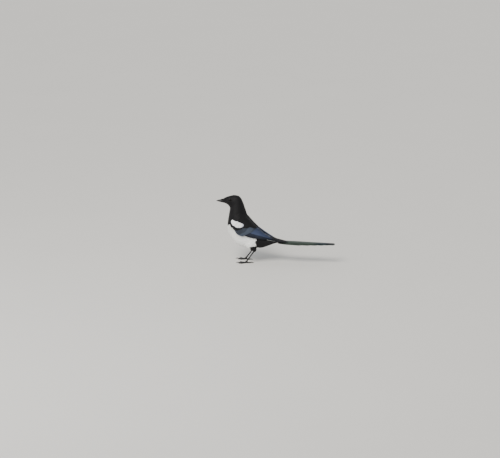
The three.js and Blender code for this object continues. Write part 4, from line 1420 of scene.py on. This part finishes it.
def build_bristles(bare, material, seed):
    """Stiff bristles that start in the forehead and lie forward over the root of the bill."""
    draw = np.random.default_rng(seed)
    parts = []
    for number in range(bare.bristles):
        turn = math.radians(BRISTLE_TURN[0] + BRISTLE_TURN[1] * ((number * 0.618) % 1))
        start = BRISTLE_START[0] + BRISTLE_START[1] * ((number * 0.377) % 1)
        long = bare.bristle_length * (0.45 + 0.55 * math.cos(turn) ** 2) * draw.uniform(0.6, 1.0)
        long = min(long, (start - BRISTLE_END) * draw.uniform(0.72, 1.05))
        t = np.linspace(0, 1, 6)
        x = start - long * t
        place_in = np.interp(-x, -UPPER_BILL[:, 0], np.arange(len(UPPER_BILL)))
        values = read(UPPER_BILL, place_in)
        out = 0.2 + 1.1 * np.sin(t * 2.8 + 0.3) * draw.uniform(0.4, 1.1)
        angle = turn * (1 - 0.15 * t) + draw.uniform(-0.1, 0.1) * t
        tall = values[:, 1] - values[:, 2]
        y = (values[:, 3] + out) * np.sin(angle)
        z = values[:, 2] + (tall + out) * np.cos(angle)
        centre = np.stack([x, y, z], -1)
        radius = BRISTLE_RADII[0] * (1 - t) ** 0.7 + BRISTLE_RADII[1]
        around = np.array([[0, math.sin(a), math.cos(a)] for a in (0, 2.1, 4.2)])
        parts.append(shell(centre[:, None] + around[None] * radius[:, None, None]))
    return face_out(mesh_object("bill_bristles", *joined(parts), material))


def build_eye(name, material):
    """An eyeball with a slightly raised cornea."""
    side = SIDES[name]
    turn = np.linspace(0, 2 * math.pi, 48, endpoint=False)
    rings = []
    for polar in np.linspace(0.02, math.pi - 0.02, 40):
        radius = EYE["radius"] * (1 + EYE["cornea"] * math.exp(-((polar / EYE["cornea_width"]) ** 2)))
        out = np.full(48, side * radius * math.cos(polar))
        ring = np.stack([radius * math.sin(polar) * np.cos(turn), out,
                         radius * math.sin(polar) * np.sin(turn)], -1)
        rings.append(ring + [EYE["x"], side * EYE["y"], EYE["z"]])
    return face_out(mesh_object(f"eyeball_{name}", *shell(rings), material))


# A lid's section: degrees out from its rim, and height over the eyeball in mm
LID_SECTION = [[-3, -0.5], [-2, 0.08], [0, 0.3], [3, 0.46], [6.5, 0.48], [10, 0.36], [13, 0.27], [18, 0.4],
               [24, 0.42], [32, 0.22], [44, -0.5], [30, -1], [10, -1]]
LID_RIM = {"across": 50, "upper": 41, "lower": 46}
LID_BEADS = {"count": 40, "height": 0.05, "at": 4, "width": 4}
LID_FOLD = {"height": 0.25, "at": 20, "width": 9}


def build_lids(material):
    """The lids of each eye: a beaded rim, a crease behind it, and a fold that runs down into the orbit."""
    parts = []
    degrees_out, over = np.transpose(LID_SECTION)
    beads = bell(degrees_out, LID_BEADS["at"], LID_BEADS["width"])
    crease = bell(degrees_out, LID_FOLD["at"], LID_FOLD["width"])
    around = np.linspace(0, 2 * math.pi, 144, endpoint=False)
    for side in SIDES.values():
        rings = []
        for turn in around:
            upper = max(math.sin(turn), 0)
            tall = LID_RIM["upper"] if math.sin(turn) > 0 else LID_RIM["lower"]
            rim = 1 / math.hypot(math.cos(turn) / LID_RIM["across"], math.sin(turn) / tall)
            polar = np.radians(rim + degrees_out)
            fold = LID_FOLD["height"] * upper * crease
            bead = LID_BEADS["height"] * math.cos(turn * LID_BEADS["count"]) * beads
            radius = EYE["radius"] + 0.1 + over + fold + bead
            rings.append(np.stack([EYE["x"] + radius * np.sin(polar) * math.cos(turn),
                                   side * (EYE["y"] + radius * np.cos(polar)),
                                   EYE["z"] + radius * np.sin(polar) * math.sin(turn)], -1))
        columns = len(LID_SECTION)
        faces = grid_faces(len(rings) + 1, columns)
        total = len(rings) * columns
        parts.append((np.reshape(rings, (-1, 3)), [tuple(i % total for i in face) for face in faces]))
    return face_out(mesh_object("eyelids", *joined(parts), material))


# Legs


def scuted(count, depth, front=None):
    """Swells a tube into overlapping plates; front keeps them to one side of it."""
    def swell(t, angle):
        saw = (t * count) % 1
        plate = depth * (0.5 - saw) * np.minimum(saw * 8, 1)
        if front is None:
            return 1 + plate + 0 * angle
        return 1 + plate * np.clip(0.5 + np.cos(angle - front), 0, 1)
    return swell


def build_leg(name, bare, finish):
    """Shank with its front plates, toes with their scutes, and claws."""
    side = SIDES[name]
    _, ankle, sole = leg_joints(name)
    line = [ankle + (sole - ankle) * share for share in (-0.05, 0.5, 1.0)]
    rings = tube(line, SHANK_RADII, 28, 120, scuted(bare.leg_scutes, 0.14, -math.pi / 2))
    shank = face_out(mesh_object(f"leg_{name}", *shell(rings), finish["leg"]))

    toes, claws = [], []
    turn = np.linspace(0, 2 * math.pi, 24, endpoint=False)
    heel = []
    for p in np.linspace(0.05, math.pi - 0.05, 16):
        ring = [math.sin(p) * np.cos(turn), math.sin(p) * np.sin(turn), np.full(24, math.cos(p))]
        heel.append(sole + HEEL["shift"] + np.stack(ring, -1) * HEEL["half"])
    toes.append(shell(np.maximum(heel, [-1e9, -1e9, 0])))
    ground = sole * [1, 1, 0]
    for toe in TOES:
        heading = math.radians(180 + side * (toe["turn"] + FOOT_TURN))
        ahead = np.array([math.cos(heading), math.sin(heading), 0])
        toe_line = [ground + ahead * toe["length"] * share + [0, 0, z] for share, z in TOE_LINE]
        swell = scuted(toe["scutes"], 0.13, math.pi / 2)
        toes.append(shell(tube(toe_line, TOE_RADII, 24, toe["scutes"] * 9, swell)))
        claw_line = [ground + ahead * (toe["length"] - 1 + toe["claw"] * share) + [0, 0, z]
                     for share, z in CLAW_LINE]
        claws.append((toe["name"], shell(tube(claw_line, CLAW_RADII, 20, 24))))
    foot = face_out(mesh_object(f"toes_{name}", *joined(toes), finish["leg"]))
    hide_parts(f"shank_{name}")
    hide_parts(f"foot_{name}")
    made = [shank, foot]
    for toe_name, form in claws:
        claw = face_out(mesh_object(f"horn_{name}_{toe_name}", *form, finish["claw"]))
        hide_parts(f"claw_{name}_{toe_name}")
        made.append(claw)
    return made


# Materials


def new_material(name, look, colours, *more):
    """A material whose shader takes the values and nodes that a look gives for its inputs."""
    material = bpy.data.materials.new(name)
    material.use_nodes = True
    tree = material.node_tree
    tree.nodes.clear()
    add = partial(add_node, tree)
    add("ShaderNodeOutputMaterial", {"Surface": add("ShaderNodeBsdfPrincipled", look(add, colours, *more))})
    return material


# A barb leaves the shaft at about 40 degrees: how far it reaches along it for each millimetre out
BARB_SLANT = 1.15
# Distance between the loose barbs of small feathers, drawn coarser than the real one so that they show
LOOSE_BARB = 0.8


def barbs(add, pitch):
    """A place on a vane, its distance from the shaft, the wave of the barbs and streaks between them."""
    vane = add(ATTRIBUTE, attribute_name="vane").outputs["Vector"]
    spot = add("ShaderNodeSeparateXYZ", (vane,)).outputs
    beside = add(MATH, (spot["X"],), operation="ABSOLUTE")
    phase = add(MATH, (beside, -BARB_SLANT, spot["Y"]), operation="MULTIPLY_ADD")
    wave = add(MATH, (phase, 2 * math.pi / pitch), operation="MULTIPLY")
    wave = add(MATH, (wave,), operation="SINE")
    where = add(COMBINE, (phase, beside, spot["Z"]))
    where = add(VECTOR, (where, (0.8, 0.06, 37)), operation="MULTIPLY")
    streaks = add(NOISE, {"Vector": where, "Scale": 1, "Detail": 3, "Roughness": 0.6})
    return spot, beside, wave, streaks


def contour_look(add, colours):
    """Body feathers: loose soft barbs that scatter light, so they look matte with a faint sheen."""
    spot, _, wave, streaks = barbs(add, LOOSE_BARB)
    mark = add(ATTRIBUTE, attribute_name="mark").outputs["Fac"]
    band = add(ATTRIBUTE, attribute_name="band").outputs["Fac"]
    marked = add(MATH, (mark, 0.5), operation="GREATER_THAN")
    uneven = add(MATH, (spot["Z"], 0.8, 0.6), operation="MULTIPLY_ADD")
    banded = add(MATH, (band, uneven), operation="MULTIPLY")
    is_white = add(MATH, (marked, banded), operation="MAXIMUM")
    along = add(MATH, (spot["Y"], 0.07), operation="MULTIPLY", use_clamp=True)
    pale = add(MIX, {0: along, 6: colours.white_root, 7: colours.white}, data_type="RGBA")
    dark = add(MIX, {0: streaks, 6: colours.black, 7: colours.black_edge}, data_type="RGBA")
    height = add(MATH, (wave, 0.4, streaks), operation="MULTIPLY_ADD")
    return {
        "Base Color": add(MIX, {0: is_white, 6: dark, 7: pale}, data_type="RGBA"),
        "Roughness": add(MATH, (streaks, 0.25, 0.5), operation="MULTIPLY_ADD"),
        "Sheen Weight": 0.05, "Sheen Roughness": 0.4, "Specular IOR Level": 0.2,
        "Normal": add(BUMP, {"Height": height, "Distance": 0.1 * MM, "Strength": 0.3}),
    }


def plume_look(add, colours, paint, pitch, metallic, roughness, sheen=0.0, specular=0.5):
    """Large feathers: tight barbs in rows either side of a shaft, with a metallic sheen over black."""
    _, beside, wave, streaks = barbs(add, pitch)
    tone = add(ATTRIBUTE, attribute_name="tone").outputs["Fac"]
    height = add(MATH, (wave, streaks), operation="ADD")
    return {
        "Base Color": paint(add, colours, tone, streaks, beside),
        "Metallic": metallic,
        "Roughness": add(MATH, (streaks, 0.22, roughness), operation="MULTIPLY_ADD"),
        "Sheen Weight": sheen, "Specular IOR Level": specular,
        "Normal": add(BUMP, {"Height": height, "Distance": 0.08 * MM, "Strength": 0.35}),
    }


def streaked(add, tone, streaks, beside, dark, bright):
    """A vane's colour from dark to bright by its tone, streaked along the barbs, with a dark shaft."""
    uneven = add(MATH, (streaks, 0.7, 0.62), operation="MULTIPLY_ADD")
    share = add(MATH, (tone, uneven), operation="MULTIPLY", use_clamp=True)
    base = add(MIX, {0: share, 6: dark, 7: bright}, data_type="RGBA")
    return with_shaft(add, beside, base, dark, 0.35)


def with_shaft(add, beside, base, dark, reach):
    """Draws the dark shaft over a vane's colour, as far as reach millimetres from its middle."""
    on_shaft = add(MATH, (beside, reach), operation="LESS_THAN")
    share = add(MATH, (on_shaft, 0.7), operation="MULTIPLY")
    return add(MIX, {0: share, 6: base, 7: dark}, data_type="RGBA")


def wing_paint(add, colours, tone, streaks, beside):
    """Blue over black, and the white web of a primary where the tone is -1."""
    base = streaked(add, tone, streaks, beside, colours.wing_dark, colours.wing_blue)
    is_white = add(MATH, (tone, -0.5), operation="LESS_THAN")
    return add(MIX, {0: is_white, 6: base, 7: colours.white_root}, data_type="RGBA")


def covert_paint(add, colours, tone, streaks, beside):
    """A greyer blue than the flight feathers have, over black."""
    return streaked(add, tone, streaks, beside, colours.wing_dark, colours.covert_blue)


def tail_paint(add, colours, tone, streaks, beside):
    """Bands along the tail: a dark base, green, blue and a dark tip. The tone is the place along it."""
    strayed = add(MATH, (streaks, 0.5), operation="SUBTRACT")
    where = add(MATH, (strayed, 0.12, tone), operation="MULTIPLY_ADD")
    ramp = add("ShaderNodeValToRGB", (where,))
    stops = ramp.color_ramp.elements
    for stop in stops:
        stop.color = colours.tail_dark
    for where, shade in ((0.2, colours.tail_green), (0.6, colours.tail_green), (0.73, colours.tail_blue),
                         (0.82, colours.tail_blue), (0.9, colours.tail_dark)):
        stops.new(where).color = shade
    return with_shaft(add, beside, ramp.outputs["Color"], colours.tail_dark, 0.45)


def shoulder_paint(add, colours, tone, streaks, beside):
    """Black with the white patch, which turns to a painted grey-blue shade where its tone is low."""
    dark = add(MIX, {0: streaks, 6: colours.black, 7: colours.black_edge}, data_type="RGBA")
    # Painted shade: where the patch's tone is low, at its rear and round its edge, its white turns grey blue
    lit = add(MATH, (tone, 0.55), operation="SUBTRACT")
    lit = add(MATH, (lit, 2.6), operation="MULTIPLY", use_clamp=True)
    pale = add(MIX, {0: lit, 6: colours.patch_rear, 7: colours.white}, data_type="RGBA")
    strayed = add(MATH, (streaks, 0.5), operation="SUBTRACT")
    edge = add(MATH, (strayed, 0.3, tone), operation="MULTIPLY_ADD")
    is_white = add(MATH, (edge, 0.42), operation="GREATER_THAN")
    return add(MIX, {0: is_white, 6: dark, 7: pale}, data_type="RGBA")


def paler(shade, times):
    """A colour as it looks where horn is worn."""
    return tuple(min(c * times + 0.01, 1) for c in shade[:3]) + (1,)


def horn_look(add, colours, part, roughness):
    """Keratin horn: dense and smooth, a satin gloss with faint growth lines and dull wear."""
    shade = getattr(colours, part)
    where = add(PLACE).outputs["Object"]
    stretched = add("ShaderNodeMapping", {"Vector": where, "Scale": (300, 1400, 1400)})
    lines = add(NOISE, {"Vector": stretched, "Scale": 1, "Detail": 4})
    worn = add(NOISE, {"Vector": where, "Scale": 260, "Detail": 2})
    share = add(MATH, (worn, 0.7), operation="MULTIPLY")
    return {
        "Base Color": add(MIX, {0: share, 6: shade, 7: paler(shade, 2.6)}, data_type="RGBA"),
        "Roughness": add(MATH, (worn, 0.25, roughness - 0.05), operation="MULTIPLY_ADD"),
        "IOR": 1.54, "Specular IOR Level": 0.3,
        "Normal": add(BUMP, {"Height": lines, "Distance": 0.08 * MM, "Strength": 0.4}),
    }


def scute_look(add, colours):
    """Horny leg plates: hard and slightly waxy, with paler worn edges and fine grain between."""
    where = add(PLACE).outputs["Object"]
    cells = add(CELLS, {"Vector": where, "Scale": 900}, feature="F1")
    worn = add(NOISE, {"Vector": where, "Scale": 220, "Detail": 3})
    share = add(MATH, (worn, 0.6), operation="MULTIPLY")
    return {
        "Base Color": add(MIX, {0: share, 6: colours.leg, 7: paler(colours.leg, 3)}, data_type="RGBA"),
        "Roughness": add(MATH, (worn, 0.3, 0.35), operation="MULTIPLY_ADD"),
        "IOR": 1.5, "Specular IOR Level": 0.3,
        "Normal": add(BUMP, {"Height": cells, "Distance": 0.15 * MM, "Strength": 0.5}),
    }


def eye_look(add, colours):
    """A wet dark eye: near-black iris with faint spokes round a black pupil, under a clear film."""
    middle = place([EYE["x"], 0, EYE["z"]])
    away = add(VECTOR, (add(PLACE).outputs["Object"], middle.tolist()), operation="SUBTRACT")
    away = add(VECTOR, (away, (1, 0, 1)), operation="MULTIPLY")
    reach = add(VECTOR, (away,), operation="LENGTH").outputs["Value"]
    across = add("ShaderNodeSeparateXYZ", (away,)).outputs
    turn = add(MATH, (across["Z"], across["X"]), operation="ARCTAN2")
    spokes = add(MATH, (turn, EYE["spokes"]), operation="MULTIPLY")
    spokes = add(MATH, (spokes,), operation="SINE")
    share = add(MATH, (spokes, 0.25, 0.5), operation="MULTIPLY_ADD")
    iris = add(MIX, {0: share, 6: colours.iris, 7: colours.iris_spokes}, data_type="RGBA")
    in_pupil = add(MATH, (reach, EYE["pupil"] * MM), operation="LESS_THAN")
    return {
        "Base Color": add(MIX, {0: in_pupil, 6: iris, 7: colours.pupil}, data_type="RGBA"),
        "Roughness": 0.06, "IOR": 1.38, "Specular IOR Level": 0.14, "Coat Weight": 0.1,
        "Coat Roughness": 0.02,
    }


def skin_look(add, colours):
    """Thin dark skin, matte, with the low bumps that feathers grow from, and pale under white feathers."""
    where = add(PLACE).outputs["Object"]
    pores = add(CELLS, {"Vector": where, "Scale": 420}).outputs["Distance"]
    white = add(ATTRIBUTE, attribute_name="white").outputs["Fac"]
    under = add(MIX, {0: pores, 6: colours.skin, 7: colours.black}, data_type="RGBA")
    pale = add(MIX, {0: pores, 6: colours.white_root, 7: colours.white}, data_type="RGBA")
    return {
        "Base Color": add(MIX, {0: white, 6: under, 7: pale}, data_type="RGBA"),
        "Roughness": 0.7,
        "Normal": add(BUMP, {"Height": pores, "Distance": 0.3 * MM, "Strength": 0.5}),
    }


def lid_look(add, colours):
    """Bare lid skin: near black and leathery, a little moist along the rim."""
    where = add(PLACE).outputs["Object"]
    grain = add(NOISE, {"Vector": where, "Scale": 1500, "Detail": 3})
    return {
        "Base Color": add(MIX, {0: grain, 6: colours.lid, 7: colours.lid_edge}, data_type="RGBA"),
        "Roughness": 0.5, "Specular IOR Level": 0.3,
        "Normal": add(BUMP, {"Height": grain, "Distance": 0.15 * MM, "Strength": 0.6}),
    }


def bristle_look(add, colours):
    """Stiff hair-like feathers: black keratin that catches small highlights along its length."""
    where = add(PLACE).outputs["Object"]
    grain = add(NOISE, {"Vector": where, "Scale": 700, "Detail": 2})
    return {
        "Base Color": add(MIX, {0: grain, 6: colours.black, 7: colours.black_edge}, data_type="RGBA"),
        "Roughness": add(MATH, (grain, 0.2, 0.35), operation="MULTIPLY_ADD"),
    }


def floor_look(add, colours):
    """Matte paint with a mottle too faint to see as a pattern."""
    where = add(PLACE).outputs["Object"]
    mottle = add(NOISE, {"Vector": where, "Scale": 3, "Detail": 4})
    deeper = tuple(c * 0.96 for c in colours.floor[:3]) + (1,)
    return {
        "Base Color": add(MIX, {0: mottle, 6: colours.floor, 7: deeper}, data_type="RGBA"),
        "Roughness": 0.85,
    }


def make_materials(colours, wing):
    """Every material of the bird, by the finish that it gives."""
    looks = {
        "contour": ("contour_feather", contour_look),
        "wing": ("blue_flight_feather", plume_look, wing_paint, wing.barb, 0.55, 0.3),
        "covert": ("blue_covert_feather", plume_look, covert_paint, wing.barb, 0.45, 0.36),
        "tail": ("green_tail_feather", plume_look, tail_paint, wing.barb, 0.5, 0.3),
        "shoulder": ("black_and_white_shoulder_feather", plume_look, shoulder_paint, LOOSE_BARB, 0, 0.55,
                     0.03, 0.2),
        "bill": ("bill_keratin", horn_look, "bill", 0.3),
        "claw": ("claw_keratin", horn_look, "claw", 0.28),
        "leg": ("scute_keratin", scute_look),
        "eye": ("wet_eye", eye_look),
        "skin": ("feather_bed_skin", skin_look),
        "lid": ("lid_skin", lid_look),
        "bristle": ("bristle_keratin", bristle_look),
    }
    return {finish: new_material(name, look, colours, *more) for finish, (name, look, *more) in looks.items()}


# Stage


# The size of the floor's square, and the lights: turns in degrees, places in metres
FLOOR_HALF = 40
KEY_LIGHT = {"spread": 28, "turn": (38, -16, 0), "colour": "fffaf2"}
SOFT_LIGHT = {"size": 1.6, "place": (-1.1, -1.6, 1.5), "aim": (0, 0, 0.12)}
SKY_COLOUR = "eef1f5"


def facing(direction):
    """The turn of a lamp or camera whose back is towards a direction."""
    return direction.to_track_quat("Z", "Y").to_euler()


def build_stage(settings, colours):
    """A plain pale floor, a broad key light, an even fill and the camera at the photo's angle."""
    scene = bpy.context.scene
    mesh = bpy.data.meshes.new("floor")
    corners = [(-1, -1), (1, -1), (1, 1), (-1, 1)]
    mesh.from_pydata([(x * FLOOR_HALF, y * FLOOR_HALF, 0) for x, y in corners], [], [(0, 1, 2, 3)])
    mesh.materials.append(new_material("matte_painted_floor", floor_look, colours))
    floor = bpy.data.objects.new("floor", mesh)

    sun = bpy.data.lights.new("key_light", "SUN")
    sun.energy = settings.sun
    sun.angle = math.radians(KEY_LIGHT["spread"])
    sun.color = linear(KEY_LIGHT["colour"], alpha=False)
    lamp = bpy.data.objects.new("key_light", sun)
    lamp.rotation_euler = [math.radians(turn) for turn in KEY_LIGHT["turn"]]
    soft = bpy.data.lights.new("soft_light", "AREA")
    soft.energy = settings.soft
    soft.size = SOFT_LIGHT["size"]
    panel = bpy.data.objects.new("soft_light", soft)
    panel.location = SOFT_LIGHT["place"]
    panel.rotation_euler = facing(Vector(SOFT_LIGHT["place"]) - Vector(SOFT_LIGHT["aim"]))

    world = bpy.data.worlds.new("studio")
    world.use_nodes = True
    background = world.node_tree.nodes["Background"]
    background.inputs["Color"].default_value = linear(SKY_COLOUR)
    background.inputs["Strength"].default_value = settings.sky
    scene.world = world

    camera_data = bpy.data.cameras.new("camera")
    camera_data.lens = settings.lens
    camera_data.sensor_width = 36
    camera_data.clip_end = 200
    camera = bpy.data.objects.new("camera", camera_data)
    turn, tilt = math.radians(settings.azimuth), math.radians(settings.elevation)
    back = Vector((math.sin(turn) * math.cos(tilt), -math.cos(turn) * math.cos(tilt), math.sin(tilt)))
    camera.location = Vector(place([0, 0, settings.aim])) + back * settings.distance
    camera.rotation_euler = facing(back)
    for made in (floor, lamp, panel, camera):
        scene.collection.objects.link(made)
    scene.camera = camera
    floor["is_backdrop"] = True


# Operators

# Pieces and materials made so far, by name
made_pieces = {}
finishes = {}


def bird_materials():
    """The bird's materials by finish; all are made at the first call."""
    if not finishes:
        scene = bpy.context.scene
        finishes.update(make_materials(scene.magpie_colours, scene.magpie_wing))
    return finishes


def keep(made, slot, *nodes):
    """Makes a piece ride on the frame and hides the nodes that it stands for; the slot is not used."""
    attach(made, "root")
    if nodes:
        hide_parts(*nodes)
    made_pieces[made.name] = made


class MAGPIE_OT_skin(bpy.types.Operator):
    """Build the skin over body, thighs and wing arms"""

    bl_idname = "magpie.skin"
    bl_label = "Skin"

    def execute(self, context):
        skin = build_skin(context.scene.magpie_coat, bird_materials()["skin"])
        keep(skin, "body_feathers", "rump", "torso", "neck", "head", "thigh_left", "thigh_right")
        return {"FINISHED"}


class MAGPIE_OT_coat(bpy.types.Operator):
    """Grow the small feathers of head, neck, body and thighs on the skin"""

    bl_idname = "magpie.coat"
    bl_label = "Coat"

    def execute(self, context):
        for made in build_coat(made_pieces["skin"], context.scene.magpie_coat, bird_materials()["contour"]):
            keep(made, "body_feathers")
        return {"FINISHED"}


class MAGPIE_OT_wings(bpy.types.Operator):
    """Build the folded wings feather by feather"""

    bl_idname = "magpie.wings"
    bl_label = "Wings"

    def execute(self, context):
        for name in SIDES:
            for made in build_wing(name, context.scene.magpie_wing, bird_materials()):
                nodes = [f"wing_{name}"] if made.name.endswith("flight") else []
                keep(made, "wing_feathers", *nodes)
        return {"FINISHED"}


class MAGPIE_OT_tail(bpy.types.Operator):
    """Build the six pairs of tail feathers"""

    bl_idname = "magpie.tail"
    bl_label = "Tail"

    def execute(self, context):
        keep(build_tail(context.scene.magpie_wing, bird_materials()["tail"]), "tail_feathers", "tail")
        return {"FINISHED"}


class MAGPIE_OT_bill(bpy.types.Operator):
    """Build both halves of the bill and the bristles over its root"""

    bl_idname = "magpie.bill"
    bl_label = "Bill"

    def execute(self, context):
        upper, lower = build_bill(bird_materials()["bill"])
        keep(upper, "bill_horn", "bill_upper")
        keep(lower, "bill_horn", "bill_lower")
        scene = context.scene
        bristles = build_bristles(scene.magpie_bare, bird_materials()["bristle"], scene.magpie_coat.seed)
        keep(bristles, "body_feathers")
        return {"FINISHED"}


class MAGPIE_OT_eyes(bpy.types.Operator):
    """Build the eyes and their lids"""

    bl_idname = "magpie.eyes"
    bl_label = "Eyes"

    def execute(self, context):
        for name in SIDES:
            keep(build_eye(name, bird_materials()["eye"]), "eye", f"eye_{name}")
        keep(build_lids(bird_materials()["lid"]), "eye")
        return {"FINISHED"}


class MAGPIE_OT_legs(bpy.types.Operator):
    """Build the legs, toes and claws"""

    bl_idname = "magpie.legs"
    bl_label = "Legs"

    def execute(self, context):
        for name in SIDES:
            for made in build_leg(name, context.scene.magpie_bare, bird_materials()):
                keep(made, "claw_horn" if made.name.startswith("horn") else "leg_scales")
        return {"FINISHED"}


class MAGPIE_OT_stage(bpy.types.Operator):
    """Set the floor, the lights and the camera"""

    bl_idname = "magpie.stage"
    bl_label = "Stage"

    def execute(self, context):
        build_stage(context.scene.magpie_stage, context.scene.magpie_colours)
        return {"FINISHED"}


OPERATORS = [MAGPIE_OT_skin, MAGPIE_OT_coat, MAGPIE_OT_wings, MAGPIE_OT_tail, MAGPIE_OT_bill,
             MAGPIE_OT_eyes, MAGPIE_OT_legs, MAGPIE_OT_stage]


class MAGPIE_PT_panel(bpy.types.Panel):
    """The magpie's sizes, colours and pieces"""

    bl_label = "Magpie"
    bl_idname = "MAGPIE_PT_panel"
    bl_space_type = "VIEW_3D"
    bl_region_type = "UI"
    bl_category = "Magpie"

    def draw(self, context):
        for group in GROUPS:
            box = self.layout.box()
            settings = getattr(context.scene, group)
            for key in settings.__annotations__:
                box.prop(settings, key)
        for operator in OPERATORS:
            self.layout.operator(operator.bl_idname)


def register():
    for item in (*GROUPS.values(), *OPERATORS, MAGPIE_PT_panel):
        bpy.utils.register_class(item)
    for name, group in GROUPS.items():
        setattr(bpy.types.Scene, name, PointerProperty(type=group))


def unregister():
    for name in GROUPS:
        delattr(bpy.types.Scene, name)
    for item in reversed((*GROUPS.values(), *OPERATORS, MAGPIE_PT_panel)):
        bpy.utils.unregister_class(item)


def main():
    """Builds every piece in order."""
    register()
    bpy.ops.magpie.skin()
    bpy.ops.magpie.coat()
    bpy.ops.magpie.wings()
    bpy.ops.magpie.tail()
    bpy.ops.magpie.bill()
    bpy.ops.magpie.eyes()
    bpy.ops.magpie.legs()
    bpy.ops.magpie.stage()
    boxes = {"cad": CAD_BOX, "visual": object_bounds()}
    {name: [list(corner) for corner in box] for name, box in boxes.items()}


if __name__ == "__main__":
    main()
